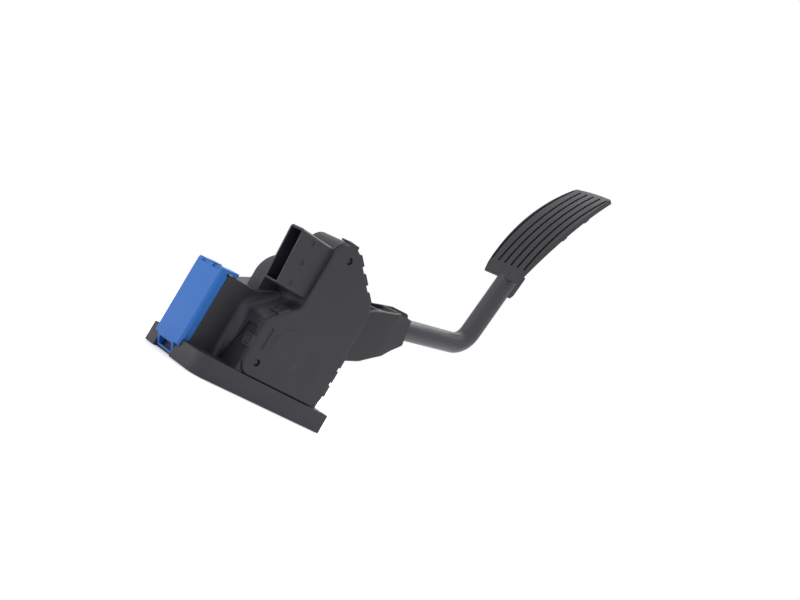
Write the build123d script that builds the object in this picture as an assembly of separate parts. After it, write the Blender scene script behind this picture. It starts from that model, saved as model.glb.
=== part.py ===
from build123d import *
import math
import os

# Hanging accelerator pedal with its sensor housing, for a car with an electronic throttle.
# Frame: origin at the centre of the base plate's mounting face, +Z away from that face,
# +X from the lock clip towards the pedal rod, -Y the side with the cover. Millimetres.

# Base plate
BASE_L = 114.0
BASE_W = 65.0
BASE_T = 13.5
BASE_CORNER_R = 0.8
BASE_NEAR_R = 9.0
BASE_EDGE = 0.4
BASE_SKIN = 3.0
BASE_WALL = 3.0
BASE_RIB = 2.5
POCKET_COUNT_X = 4
POCKET_COUNT_Y = 4

# Two screw holes with steel sleeves at the pedal end of the base
HOLE_R = 3.25
HOLE_END = 6.5
HOLE_SPACING = 49.0
SLEEVE_WALL = 1.75
HOLE_BOSS_WALL = 2.0

# Body outline, seen from the cover side
FRONT_X = -29.0
NECK_X = -10.0
REAR_X = 44.7
SHOULDER_Z = 51.0
NECK_Z = 67.5
ROOF_X = 8.0
TOP_Z = 118.8
EAVE_Z = 89.0
BODY_CORNER_R = 9.0
SHOULDER_R = 4.0
NECK_R = 6.0
CROWN_R = 11.0
ROOF_R = 14.0
WALL = 2.5
TALL_W = 28.6

# Lower half of the body on the far side
FAR_FRONT_X = -25.5
FAR_TOP_Z = 93.0
FAR_R = 20.0
FAR_WALL = 3.0
FAR_BOSS = 3.0
FAR_RIB = 2.5
FAR_CORE = 8.0

# Recess in the front wall below the shoulder
RECESS_DEPTH = 2.5
RECESS_TOP_Z = 44.0
RECESS_SIDE = 1.5
RECESS_SLANT = 8.3

# Side cover
COVER_RECESS = 0.2
COVER_T = 2.2
COVER_INSET = 0.4
COVER_BEVEL = 1.0
COVER_BOSS_R = 14.5
COVER_BOSS_RISE = 0.7
COVER_BOSS_SLOPE = 2.0
COVER_BOSS_SKIN = 1.6
COVER_HOLE_R = 2.4
COVER_HOLE_EDGE = 10.0
COVER_PEG_GAP = 0.5
COVER_PEG_SINK = 1.2
COVER_DENT_W = 3.0
COVER_DENT_L = 15.0
COVER_DENT_DEPTH = 0.5
COVER_DENT_EDGE = 5.5
SEAM = 0.3
TAB_W = 8.4
TAB_T = 1.2
TAB_L = 9.0
TAB_GAP = 0.15
LUG_W = 4.6
LUG_L = 4.0
LUG_GAP = 0.3
# Share of each edge of the outline at which its cover tabs sit
TABS = {"rear": (0.2, 0.34, 0.485), "roof": (0.22, 0.52, 0.82), "crown": (0.3,),
        "slope": (0.5,), "front": (0.45,)}

# Plug socket
SOCKET_X = -36.1
SOCKET_W = 15.0
SOCKET_H = 38.0
SOCKET_Z = 91.4
SOCKET_FLUSH = 1.1
SOCKET_TILT = -4.0
SOCKET_WALL = 1.6
SOCKET_R = 2.2
SOCKET_EDGE = 0.4
DIMPLE_R = 1.9
DIMPLE_DEPTH = 0.5
DIMPLE_PITCH = 14.0
PIN_COUNT = 6
PIN_PITCH = 5.0
PIN_SIZE = 1.2
PIN_TIP = 12.0
PIN_GAP = 0.02

# Nose that carries the lock clip
NOSE_SET = 24.1
NOSE_W = 32.0
NOSE_TOP_Z = 62.4
RAMP_X = -28.0
RAMP_TOP_Z = 69.4
NOSE_WALL = 2.5
NOSE_EDGE = 0.8
NOSE_FILLET = 6.0

# Lock clip
CLIP_OUT = 1.8
CLIP_DEPTH = 6.4
CLIP_PLATE = 2.5
CLIP_WALL = 1.8
CLIP_GAP = 0.2
CLIP_TOP = 1.2
CLIP_CHAMFER = 1.6
CLIP_FOOT_Z = 9.0
CLIP_FOOT_END = 1.5
CLIP_FOOT_Y = 21.0
CLIP_FOOT_WALL = 2.4
CLIP_WINDOW_H = 4.6
CLIP_BROW = 0.9
CLIP_NOTCH = 1.5
CLIP_NOTCH_DEPTH = 1.2
HOOK_L = 7.0
HOOK_W = 10.5
HOOK_HEEL = 0.7
HOOK_RISE = 2.0
HOOK_LEAD = 0.8
DENT_W = 9.0
DENT_H = 1.8
DENT_DEPTH = 1.2
# Share of the clip's width, from its far end, at which its two dents sit
DENTS = (0.35, 0.76)

# Pivot
PIVOT_X = -2.3
PIVOT_Z = 40.0
SHAFT_R = 4.0
SHAFT_END = 3.5
SHAFT_FLAT = 1.0
COLLAR_R = 6.0
COLLAR_T = 0.6
RUN_GAP = 0.03
BUSH_WALL = 2.0
BUSH_FLANGE = 1.0
BUSH_FLANGE_R = 8.0
BUSH_PLAY = 0.15
CLIP_RING_T = 1.0
CLIP_RING_R = 6.6
CLIP_RING_GROOVE = 0.5
TRAVEL = 15.0

# Lever hub
PARTITION_T = 2.9
HUB_W = 25.0
HUB_GAP = 0.5
HUB_WALL = 2.2
HUB_WEB = 12.0
HUB_RIB = 2.2
HUB_FLOOR = 3.0
HUB_RIBS = (46.0, 64.0, 84.0)
HUB_TIP_W = 20.5
HUB_TIP_CUT = 5.0
HUB_EDGE = 1.0
HUB_NEAR_DROP = 3.2
HUB_TAPER_X = 80.0
BARREL_R = 11.0
HUB_KNEE = (61.0, 92.8)
HUB_CHIN = (70.0, 55.3)
# Brow and jaw of the hub, from the mouth of the rod's sleeve
HUB_BROW = (-4.5, 12.3)
HUB_JAW = (-11.3, -23.2)
# Corner radii of the hub's side outline, from its heel round to its crown
HUB_CORNERS = [0.0, 25.0, 25.0, 2.0, 3.0, 3.0, 25.0, 0.0]
FIT_GAP = 0.02

# Rod: round tube with one bend
ROD_R = 8.0
ROD_WALL = 1.5
ROD_ELBOW = (167.3, 106.1)
ROD_SLOPE = 12.7
ROD_LEAN = 7.8
ROD_BEND_R = 18.0
ROD_FREE_L = 70.0
ROD_GRIP_L = 26.0
ROD_RISE = 71.5
SLEEVE_R = 10.0
SLEEVE_TOP = 9.2

# Pad
PAD_FOOT = (167.6, 174.8)
PAD_CHORD = 106.6
PAD_LEAN = 27.5
PAD_BOW = 7.0
PAD_W = 37.0
PAD_SWELL = 4.0
PAD_CROWN = 1.5
PAD_SHIFT = 1.3
PAD_DEPTH = 4.0
PAD_LIP = 7.0
PAD_TUCK = 1.0
PAD_SKIN = 2.8
PAD_EDGE = 1.0
PAD_RIB = 2.0
PAD_RIBS = 6
GROOVES = 6
GROOVE_PITCH = 7.05
GROOVE_W = 2.0
GROOVE_DEPTH = 1.6
GROOVE_END = 4.5
GROOVE_TOP = 3.5
GROOVE_SWELL = 2.3
PAD_NUB_L = 5.0
PAD_NUB_T = 1.2
# Share of the pad's length at which the two nubs of its near rim sit
PAD_NUBS = (0.45, 0.7)
SOCKET_WALL_T = 1.6
SOCKET_SIDE = 6.5
SOCKET_DROP = 17.0
SOCKET_BEVEL = 4.0

# Return springs, their cap and the two rubber stops
SPRING_X = 26.0
SPRING_SEAT_Z = 4.0
SPRING_CAP_Z = 33.5
OUTER_R = 9.0
OUTER_WIRE_R = 1.2
OUTER_TURNS = 5.5
INNER_R = 5.8
INNER_WIRE_R = 0.8
INNER_TURNS = 7.5
SPIGOT_R = 3.6
SPIGOT_L = 6.0
WELL_GAP = 1.0
WELL_WALL = 2.5
IDLE_SPACE = 8.0
IDLE_L = 9.0
IDLE_W = 14.0
IDLE_AT = 46.0
STOP_GAP = 0.3
STOP_L = 5.6
STOP_W = 13.0
STOP_T = 6.0
SLOT_Z = 28.0

# Sensor
BOARD_T = 1.6
BOARD_GAP = 1.7
BOARD_EDGE = 1.0
BOARD_FOOT_Z = 21.0
BOARD_REAR_X = 24.0
POST_R = 3.0
PEG_R = 1.2
POSTS = [(-19.5, 31.0), (19.0, 26.0), (19.0, 60.0), (-19.5, 46.0)]
ROTOR_R = 12.5
ROTOR_T = 4.0
ROTOR_GAP = 0.5
MAGNET_R = 10.5
MAGNET_BORE_R = 7.0
MAGNET_T = 2.2
CHIP_L = 5.0
CHIP_W = 4.0
CHIP_T = 0.8
CHIP_OUT = 8.5
WELL_BACK = 3.0

# Stations along Y
COVER_Y = -BASE_W / 2 + COVER_RECESS
RIM_Y = COVER_Y + COVER_T
BOARD_Y = RIM_Y + BOARD_GAP
ROTOR_Y = BOARD_Y + BOARD_T + ROTOR_GAP
PARTITION_Y = ROTOR_Y + ROTOR_T + COLLAR_T + 2 * BUSH_PLAY
CAVITY_Y0 = PARTITION_Y + PARTITION_T
PEDAL_Y = CAVITY_Y0 + HUB_GAP + HUB_W / 2
PAD_Y = PEDAL_Y + PAD_SHIFT
CAVITY_Y1 = PEDAL_Y + HUB_W / 2 + HUB_GAP
TALL_Y = RIM_Y + TALL_W
FAR_Y = CAVITY_Y1 + FAR_WALL
BOSS_Y = FAR_Y + FAR_BOSS
NOSE_Y = RIM_Y + NOSE_SET
NOSE_Y1 = NOSE_Y + NOSE_W
SOCKET_Y = RIM_Y + SOCKET_FLUSH + SOCKET_W / 2
RING_Y = BOSS_Y + 2 * BUSH_PLAY
SHAFT_Y1 = RING_Y + CLIP_RING_T + SHAFT_END

# Other places worked out from the sizes above
BASE_X0 = -BASE_L / 2
CLIP_X = BASE_X0 - CLIP_OUT
NOSE_X = CLIP_X + CLIP_DEPTH + CLIP_GAP
HOLE_X = BASE_L / 2 - HOLE_END
SLEEVE_OUT_R = HOLE_R + SLEEVE_WALL
BUSH_R = SHAFT_R + RUN_GAP + BUSH_WALL
SINK = 1.0


def polar(angle):
    """Unit step in X and Z at an angle in degrees above +X."""
    return math.cos(math.radians(angle)), math.sin(math.radians(angle))


def step(point, angle, distance):
    """Point that lies a distance from another, at an angle above +X."""
    across, up = polar(angle)
    return point[0] + distance * across, point[1] + distance * up


def inset(points, distance):
    """Corners of an anticlockwise outline whose edges move inwards by a distance."""
    lines = []
    for (x0, z0), (x1, z1) in zip(points, points[1:] + points[:1]):
        length = math.hypot(x1 - x0, z1 - z0)
        dx, dz = (x1 - x0) / length, (z1 - z0) / length
        lines.append((x0 - dz * distance, z0 + dx * distance, dx, dz))
    moved = []
    for (ax, az, adx, adz), (bx, bz, bdx, bdz) in zip(lines[-1:] + lines[:-1], lines):
        along = ((bx - ax) * bdz - (bz - az) * bdx) / (adx * bdz - adz * bdx)
        moved.append((ax + along * adx, az + along * adz))
    return moved


def prism(points, y0, y1, radii=None):
    """Solid with an outline in X and Z, from y0 to y1, with rounded corners if radii are given."""
    if radii:
        outline = FilletPolyline(*points, radius=radii, close=True)
    else:
        outline = Polyline(*points, close=True)
    return extrude(Plane.XZ.offset(-y1) * make_face(outline), y1 - y0)


def block(x0, x1, y0, y1, z0, z1):
    """Box between two corners."""
    size = Box(x1 - x0, y1 - y0, z1 - z0)
    return Pos((x0 + x1) / 2, (y0 + y1) / 2, (z0 + z1) / 2) * size


def disc_y(x, z, radius, y0, y1):
    """Round bar along Y."""
    return Pos(x, (y0 + y1) / 2, z) * Rot(X=90) * Cylinder(radius, y1 - y0)


def disc_z(x, y, radius, z0, z1):
    """Round bar along Z."""
    return Pos(x, y, (z0 + z1) / 2) * Cylinder(radius, z1 - z0)


def body_points(front_x, bottom_z):
    """Corners of the body outline, anticlockwise from the lower front corner."""
    return [(front_x, bottom_z), (REAR_X, bottom_z), (REAR_X, EAVE_Z), (ROOF_X, TOP_Z),
            (NECK_X, TOP_Z), (NECK_X, NECK_Z), (front_x, SHOULDER_Z)]


BODY_EDGES = ("bottom", "rear", "roof", "crown", "neck", "slope", "front")


def tab_frames():
    """Plane of each cover tab, on the wall of the body."""
    points = body_points(FRONT_X, BASE_T - SINK)
    places = [(BODY_EDGES.index(edge), share) for edge, shares in TABS.items() for share in shares]
    return [edge_frame(points, edge, share) for edge, share in places]


def body_radii(change):
    """Corner radii of the body outline after its edges move inwards by a change."""
    convex = [BODY_CORNER_R, BODY_CORNER_R, ROOF_R, ROOF_R, CROWN_R]
    return [max(r - change, 0.5) for r in convex] + [NECK_R + change, max(SHOULDER_R - change, 0.5)]


def far_points(bottom_z):
    """Corners of the lower outline on the far side, anticlockwise."""
    return [(FAR_FRONT_X, bottom_z), (REAR_X, bottom_z), (REAR_X, FAR_TOP_Z), (FAR_FRONT_X, FAR_TOP_Z)]


def tangent(target, side):
    """Point where a line from a target touches the hub's barrel, above (1) or below (-1) it."""
    dx, dz = target[0] - PIVOT_X, target[1] - PIVOT_Z
    reach = math.hypot(dx, dz)
    turn = math.degrees(math.asin(BARREL_R / reach))
    angle = math.degrees(math.atan2(dz, dx)) + side * (90.0 - turn)
    return step((PIVOT_X, PIVOT_Z), angle, BARREL_R)


HUB_CROWN = tangent(HUB_KNEE, 1)
HUB_HEEL = tangent(HUB_CHIN, -1)
TOP_ANGLE = math.degrees(math.atan2(HUB_KNEE[1] - HUB_CROWN[1], HUB_KNEE[0] - HUB_CROWN[0]))
HEEL_ANGLE = math.degrees(math.atan2(HUB_CHIN[1] - HUB_HEEL[1], HUB_CHIN[0] - HUB_HEEL[0]))
ROD_TIP = step(ROD_ELBOW, 90.0 - ROD_LEAN, ROD_RISE)
ROD_MOUTH = step(ROD_ELBOW, 180.0 + ROD_SLOPE, ROD_FREE_L)
ROD_TAIL = step(ROD_ELBOW, 180.0 + ROD_SLOPE, ROD_FREE_L + ROD_GRIP_L)


def heel_z(x):
    """Height of the hub's underside at rest."""
    return HUB_HEEL[1] + (x - HUB_HEEL[0]) * math.tan(math.radians(HEEL_ANGLE))


def pressed_heel_z(x):
    """Height of the hub's underside when the pedal is fully pressed."""
    angle = HEEL_ANGLE - TRAVEL
    start = step((PIVOT_X, PIVOT_Z), angle - 90.0, BARREL_R)
    return start[1] + (x - start[0]) * math.tan(math.radians(angle))


def roof_z(x):
    """Height of the lever chamber's ceiling."""
    rise = IDLE_SPACE / math.cos(math.radians(TOP_ANGLE))
    return HUB_CROWN[1] + (x - HUB_CROWN[0]) * math.tan(math.radians(TOP_ANGLE)) + rise


def chamber_points():
    """Outline of the lever chamber, anticlockwise."""
    front = PIVOT_X - BARREL_R - IDLE_SPACE
    rear = REAR_X - WALL
    return [(front, BASE_T), (rear, BASE_T), (rear, roof_z(rear)), (front, roof_z(front))]


def tube_between(start, end, y, radius):
    """Round bar in the plane of the pedal, between two points in X and Z."""
    line = Vector(end[0] - start[0], 0, end[1] - start[1])
    middle = Vector((start[0] + end[0]) / 2, y, (start[1] + end[1]) / 2)
    return Plane(origin=middle, x_dir=(0, 1, 0), z_dir=line) * Cylinder(radius, line.length)


def edge_frame(points, edge, share):
    """Plane on an edge of an outline: X along the edge, Y along the world's Y, Z outwards."""
    (x0, z0), (x1, z1) = points[edge], points[(edge + 1) % len(points)]
    length = math.hypot(x1 - x0, z1 - z0)
    dx, dz = (x1 - x0) / length, (z1 - z0) / length
    spot = (x0 + share * (x1 - x0), 0, z0 + share * (z1 - z0))
    return Plane(origin=spot, x_dir=(-dx, 0, -dz), z_dir=(dz, 0, -dx))


def pin_heights():
    """Height of each contact pin."""
    return [SOCKET_Z + (i - (PIN_COUNT - 1) / 2) * PIN_PITCH for i in range(PIN_COUNT)]


def hole_places():
    """Centres of the two screw holes in X and Y."""
    return [(HOLE_X, side * HOLE_SPACING / 2) for side in (-1, 1)]


def base_pockets():
    """Cored pockets in the underside of the base plate."""
    width_x = (BASE_L - 2 * BASE_WALL - (POCKET_COUNT_X - 1) * BASE_RIB) / POCKET_COUNT_X
    width_y = (BASE_W - 2 * BASE_WALL - (POCKET_COUNT_Y - 1) * BASE_RIB) / POCKET_COUNT_Y
    depth = BASE_T - BASE_SKIN
    pockets = []
    for i in range(POCKET_COUNT_X):
        for j in range(POCKET_COUNT_Y):
            x0 = BASE_X0 + BASE_WALL + i * (width_x + BASE_RIB)
            y0 = -BASE_W / 2 + BASE_WALL + j * (width_y + BASE_RIB)
            pockets.append(block(x0, x0 + width_x, y0, y0 + width_y, -SINK, depth))
    return pockets


def nose_cells():
    """Two hollows in the nose, open at the underside."""
    rib_y = NOSE_Y + NOSE_W / 2
    top = NOSE_TOP_Z - NOSE_WALL
    near_x = FRONT_X + NOSE_WALL
    far_x = NECK_X - NOSE_WALL
    x0 = NOSE_X + NOSE_WALL
    near = block(x0, near_x, NOSE_Y + NOSE_WALL, rib_y - NOSE_WALL / 2, -SINK, top)
    far = block(x0, far_x, max(rib_y + NOSE_WALL / 2, FAR_Y), NOSE_Y1 - NOSE_WALL, -SINK, top)
    return [near, far]


def base_plate():
    """Base plate, cored from below, with solid bosses for the screws and the spring well."""
    plate = Pos(0, 0, BASE_T / 2) * Box(BASE_L, BASE_W, BASE_T)
    corners = plate.edges().filter_by(Axis.Z).sort_by(lambda edge: edge.center().X + edge.center().Y)
    plate = fillet(corners[1:], BASE_CORNER_R)
    near = plate.edges().filter_by(Axis.Z).sort_by(lambda edge: edge.center().X + edge.center().Y)[0]
    plate = fillet(near, BASE_NEAR_R)
    plate = chamfer(plate.faces().sort_by(Axis.Z)[-1].edges(), BASE_EDGE)
    plate -= base_pockets()
    for x, y in hole_places():
        boss = disc_z(x, y, SLEEVE_OUT_R + HOLE_BOSS_WALL, 0, BASE_T)
        plate += boss & block(BASE_X0, BASE_L / 2, -BASE_W / 2, BASE_W / 2, 0, BASE_T - BASE_EDGE)
    plate += disc_z(SPRING_X, PEDAL_Y, OUTER_R + WELL_GAP + WELL_WALL, 0, BASE_T)
    for cell in nose_cells():
        low, high = cell.bounding_box().min, cell.bounding_box().max
        plate += block(low.X - NOSE_WALL, high.X + NOSE_WALL, low.Y - NOSE_WALL, high.Y + NOSE_WALL,
                       0, BASE_T - BASE_SKIN)
    return plate


def nose_points():
    """Side outline of the nose, anticlockwise, with a ramp up to the body."""
    bottom = BASE_T - SINK
    end_x = NECK_X + SINK
    return [(NOSE_X, bottom), (end_x, bottom), (end_x, RAMP_TOP_Z), (NECK_X - WALL, RAMP_TOP_Z),
            (RAMP_X, NOSE_TOP_Z), (NOSE_X, NOSE_TOP_Z)]


def nose_fillet():
    """Hollow curve in the corner between the nose and the body's front and slope."""
    r, root = NOSE_FILLET, NOSE_EDGE
    slope = math.degrees(math.atan2(NECK_Z - SHOULDER_Z, NECK_X - FRONT_X))
    end = step((NECK_X, NECK_Z), slope, r)
    line = FilletPolyline((FRONT_X, BASE_T - SINK), (FRONT_X, SHOULDER_Z), end, radius=SHOULDER_R)
    path = Plane.XZ.offset(-NOSE_Y) * line
    inner = r - r * math.sqrt(0.5)
    curve = ThreePointArc((r, 0), (inner, inner), (0, r))
    corner = Polyline((0, r), (-root, r), (-root, -root), (r, -root), (r, 0))
    start = Plane(origin=path @ 0, x_dir=(-1, 0, 0), z_dir=path % 0)
    shape = sweep(start * make_face(Curve() + [curve, corner]), path=path)
    return shape & prism(inset(nose_points(), NOSE_EDGE), NOSE_Y - 2 * r, NOSE_Y + r)


def nose():
    """Block that carries the lock clip."""
    bottom = BASE_T - SINK
    shape = prism(nose_points(), NOSE_Y, NOSE_Y1)
    rims = shape.faces().sort_by(Axis.Y)[0].edges()
    shape = chamfer(rims.filter_by(lambda edge: edge.center().Z > NOSE_TOP_Z - NOSE_EDGE), NOSE_EDGE)
    lip = CLIP_WALL + CLIP_GAP
    tongue_x = CLIP_X + CLIP_PLATE + CLIP_GAP
    shape += block(tongue_x, NOSE_X + SINK, NOSE_Y + lip, NOSE_Y1 - lip, bottom, NOSE_TOP_Z - lip)
    return shape


def socket_shell():
    """Plug socket that stands out of the neck."""
    face = RectangleRounded(SOCKET_W, SOCKET_H, SOCKET_R)
    length = NECK_X - SOCKET_X
    frame = Plane(origin=(SOCKET_X - length, SOCKET_Y, SOCKET_Z), x_dir=(0, 1, 0), z_dir=(1, 0, 0))
    shell = extrude(frame * face, 2 * length + SINK)
    mouth = Pos(SOCKET_X, SOCKET_Y, SOCKET_Z) * Rot(Y=SOCKET_TILT) * Pos(-length, 0, 0)
    shell -= mouth * Box(2 * length, 2 * SOCKET_W, 3 * SOCKET_H)
    shell = chamfer(shell.faces().sort_by(Axis.X)[0].edges(), SOCKET_EDGE)
    near = SOCKET_Y - SOCKET_W / 2
    x = (SOCKET_X + NECK_X) / 2 - DIMPLE_PITCH / 4
    for i in (-1, 0, 1):
        z = SOCKET_Z + i * DIMPLE_PITCH
        shell -= disc_y(x, z, DIMPLE_R, near - SINK, near + DIMPLE_DEPTH)
    return shell


def socket_hollow():
    """Space inside the plug socket."""
    wall = 2 * SOCKET_WALL
    face = RectangleRounded(SOCKET_W - wall, SOCKET_H - wall, SOCKET_R - SOCKET_WALL)
    length = NECK_X - SOCKET_X
    frame = Plane(origin=(SOCKET_X - length, SOCKET_Y, SOCKET_Z), x_dir=(0, 1, 0), z_dir=(1, 0, 0))
    return extrude(frame * face, 2 * length)


def front_recess():
    """Shallow recess in the front wall, with a slanted side towards the nose."""
    rim = RIM_Y + WALL
    corner = NOSE_Y - RECESS_SIDE
    points = [(rim, BASE_T), (corner, BASE_T), (corner - RECESS_SLANT, RECESS_TOP_Z), (rim, RECESS_TOP_Z)]
    face = make_face(FilletPolyline(*points, radius=[WALL, 0.5, WALL, WALL], close=True))
    frame = Plane(origin=(FRONT_X - NOSE_FILLET, 0, 0), x_dir=(0, 1, 0), z_dir=(1, 0, 0))
    return extrude(frame * face, NOSE_FILLET + RECESS_DEPTH)


def sensor_space():
    """Sensor chamber under the cover, deeper behind the plug socket."""
    points = inset(body_points(FRONT_X + RECESS_DEPTH, BASE_T), WALL)
    radii = body_radii(WALL)
    shallow = prism(points, RIM_Y - SINK, PARTITION_Y, radii)
    deep = prism(points, PARTITION_Y - SINK, TALL_Y - WELL_BACK, radii)
    deep &= block(FRONT_X, REAR_X, RIM_Y, TALL_Y, NECK_Z + NECK_R, TOP_Z)
    deep -= prism(inset(chamber_points(), -WALL), PARTITION_Y - 2 * SINK, TALL_Y)
    return [shallow, deep]


def lever_space():
    """Lever chamber, open towards the pedal."""
    near = prism(chamber_points(), CAVITY_Y0, TALL_Y + SINK)
    near &= prism(inset(body_points(FRONT_X, BASE_T - WALL), WALL), CAVITY_Y0, TALL_Y + SINK)
    far = prism(chamber_points(), TALL_Y, CAVITY_Y1)
    far &= prism(inset(far_points(BASE_T - WALL), WALL), TALL_Y, CAVITY_Y1)
    slot = block(REAR_X - WALL - SINK, REAR_X + SINK, CAVITY_Y0, CAVITY_Y1, SLOT_Z, FAR_TOP_Z + SINK)
    return [near, far, slot]


def far_cores():
    """Cored pockets in the far side of the body, above the lever chamber."""
    points = inset(far_points(BASE_T), WALL)
    core = prism(points, FAR_Y - FAR_CORE, FAR_Y + SINK, [1.0, ROOF_R - WALL, ROOF_R - WALL, FAR_R - WALL])
    core -= prism(inset(chamber_points(), -WALL), FAR_Y - FAR_CORE - SINK, FAR_Y + 2 * SINK)
    core &= block(FAR_FRONT_X, REAR_X, FAR_Y - FAR_CORE, FAR_Y + SINK, NOSE_TOP_Z + WALL, FAR_TOP_Z)
    middle = (FAR_FRONT_X + REAR_X) / 2
    for share in (-0.22, 0.06, 0.3):
        x = middle + share * (REAR_X - FAR_FRONT_X)
        core -= block(x - FAR_RIB / 2, x + FAR_RIB / 2, FAR_Y - FAR_CORE, FAR_Y + SINK, 0, TOP_Z)
    return core


def lug():
    """Lug on the housing wall that a cover tab snaps over, drawn in the tab's plane."""
    out = TAB_GAP + TAB_T
    root = RECESS_DEPTH + SINK
    place = Pos(0, RIM_Y + TAB_L / 2, (out - root) / 2)
    return place * Box(LUG_W, LUG_L, out + root)


def stop_post_x():
    """Front and rear of the full-travel stop."""
    rear = REAR_X - WALL
    return rear - STOP_L, rear


def stop_top_z():
    """Top of the full-travel buffer."""
    return pressed_heel_z(stop_post_x()[0]) - STOP_GAP


def cover_holes():
    """Centres of the two holes in the side cover, in X and Z."""
    low = (FRONT_X + COVER_HOLE_EDGE, BASE_T + COVER_HOLE_EDGE)
    high = (ROOF_X - COVER_HOLE_EDGE / 3, TOP_Z - COVER_HOLE_EDGE)
    return low, high


def cover_pegs():
    """Two pegs that stand in the holes of the side cover."""
    radius = COVER_HOLE_R - COVER_PEG_GAP
    low, high = cover_holes()
    tip = COVER_Y + COVER_PEG_SINK
    floor = TALL_Y - WELL_BACK + SINK
    return [disc_y(*low, radius, tip, PARTITION_Y + SINK), disc_y(*high, radius, tip, floor)]


def housing():
    """Housing: base plate, body, nose and plug socket in one moulding."""
    points = body_points(FRONT_X, BASE_T - SINK)
    body = prism(points, RIM_Y, TALL_Y, [0.5, 0.5] + body_radii(0)[2:])
    body += prism(far_points(BASE_T - SINK), TALL_Y - SINK, FAR_Y, [0.5, 0.5, ROOF_R, FAR_R])
    body += disc_y(PIVOT_X, PIVOT_Z, BUSH_R + FAR_WALL, FAR_Y - SINK, BOSS_Y)
    body += nose()
    body += nose_fillet()
    body += socket_shell()
    body -= front_recess()
    for frame in tab_frames():
        body += frame * lug()
    body -= sensor_space()
    body -= lever_space()
    body -= far_cores()
    for x, z in POSTS:
        body += disc_y(x, z, POST_R, BOARD_Y + BOARD_T, PARTITION_Y + SINK)
        body += disc_y(x, z, PEG_R, BOARD_Y, PARTITION_Y)
    body += cover_pegs()
    front, rear = stop_post_x()
    top = stop_top_z() - STOP_T
    body += block(front, rear, PEDAL_Y - STOP_W / 2, PEDAL_Y + STOP_W / 2, BASE_T - SINK, top)
    body += base_plate()
    body -= nose_cells()
    body -= socket_hollow()
    body -= disc_y(PIVOT_X, PIVOT_Z, BUSH_R, PARTITION_Y - SINK, BOSS_Y + SINK)
    body -= disc_y(PIVOT_X, PIVOT_Z, CLIP_RING_R + 2 * SINK, BOSS_Y, NOSE_Y1 + SINK)
    for z in pin_heights():
        half = PIN_SIZE / 2 + PIN_GAP
        body -= block(SOCKET_X, NECK_X + 2 * WALL, SOCKET_Y - half, SOCKET_Y + half, z - half, z + half)
    for x, y in hole_places():
        body -= disc_z(x, y, SLEEVE_OUT_R, -SINK, BASE_T + SINK)
    body -= disc_z(SPRING_X, PEDAL_Y, OUTER_R + WELL_GAP, SPRING_SEAT_Z, BASE_T + SINK)
    notch = CLIP_FOOT_Y / 2 + CLIP_GAP
    middle = NOSE_Y + NOSE_W / 2
    body -= block(BASE_X0 - SINK, CLIP_X + CLIP_DEPTH + CLIP_GAP, middle - notch, middle + notch,
                  -SINK, BASE_T + SINK)
    return body


def side_cover():
    """Snap-on cover with a round boss over the sensor, two holes and a row of tabs."""
    points = inset(body_points(FRONT_X, BASE_T + SEAM - COVER_INSET), COVER_INSET)
    plate = prism(points, COVER_Y, RIM_Y, body_radii(COVER_INSET))
    plate = chamfer(plate.faces().sort_by(Axis.Y)[0].edges(), COVER_BEVEL)
    boss = Cone(COVER_BOSS_R, COVER_BOSS_R - COVER_BOSS_SLOPE, COVER_BOSS_RISE)
    plate += Pos(PIVOT_X, COVER_Y - COVER_BOSS_RISE / 2, PIVOT_Z) * Rot(X=90) * boss
    inner = COVER_BOSS_R - COVER_BOSS_SKIN
    plate -= disc_y(PIVOT_X, PIVOT_Z, inner, COVER_Y - COVER_BOSS_RISE + COVER_BOSS_SKIN, RIM_Y + SINK)
    plate -= cover_dent()
    for x, z in cover_holes():
        plate -= disc_y(x, z, COVER_HOLE_R, COVER_Y - SINK, RIM_Y + SINK)
    for frame in tab_frames():
        plate += frame * tab()
    return plate


def cover_dent():
    """Shallow upright dent beside the boss."""
    x0 = FRONT_X + COVER_DENT_EDGE
    x1 = x0 + COVER_DENT_W
    z0, z1 = PIVOT_Z - COVER_DENT_L / 2, PIVOT_Z + COVER_DENT_L / 2
    corners = [(x0, z0), (x1, z0), (x1, z1), (x0, z1)]
    return prism(corners, COVER_Y - SINK, COVER_Y + COVER_DENT_DEPTH, [COVER_DENT_W * 0.45] * 4)


def tab():
    """One cover tab, drawn on the housing wall it lies on, with a window for its lug."""
    top = COVER_Y + COVER_BEVEL
    reach = RIM_Y + TAB_L - top
    middle = top + reach / 2
    plate = Pos(0, middle, TAB_GAP + TAB_T / 2) * Box(TAB_W, reach, TAB_T)
    root_t = COVER_INSET + SINK + TAB_GAP + TAB_T
    root_l = RIM_Y - top
    plate += Pos(0, top + root_l / 2, TAB_GAP + TAB_T - root_t / 2) * Box(TAB_W, root_l, root_t)
    window = Box(LUG_W + 2 * LUG_GAP, LUG_L + 2 * LUG_GAP, 4 * TAB_T)
    return plate - Pos(0, RIM_Y + TAB_L / 2, TAB_T) * window


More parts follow.
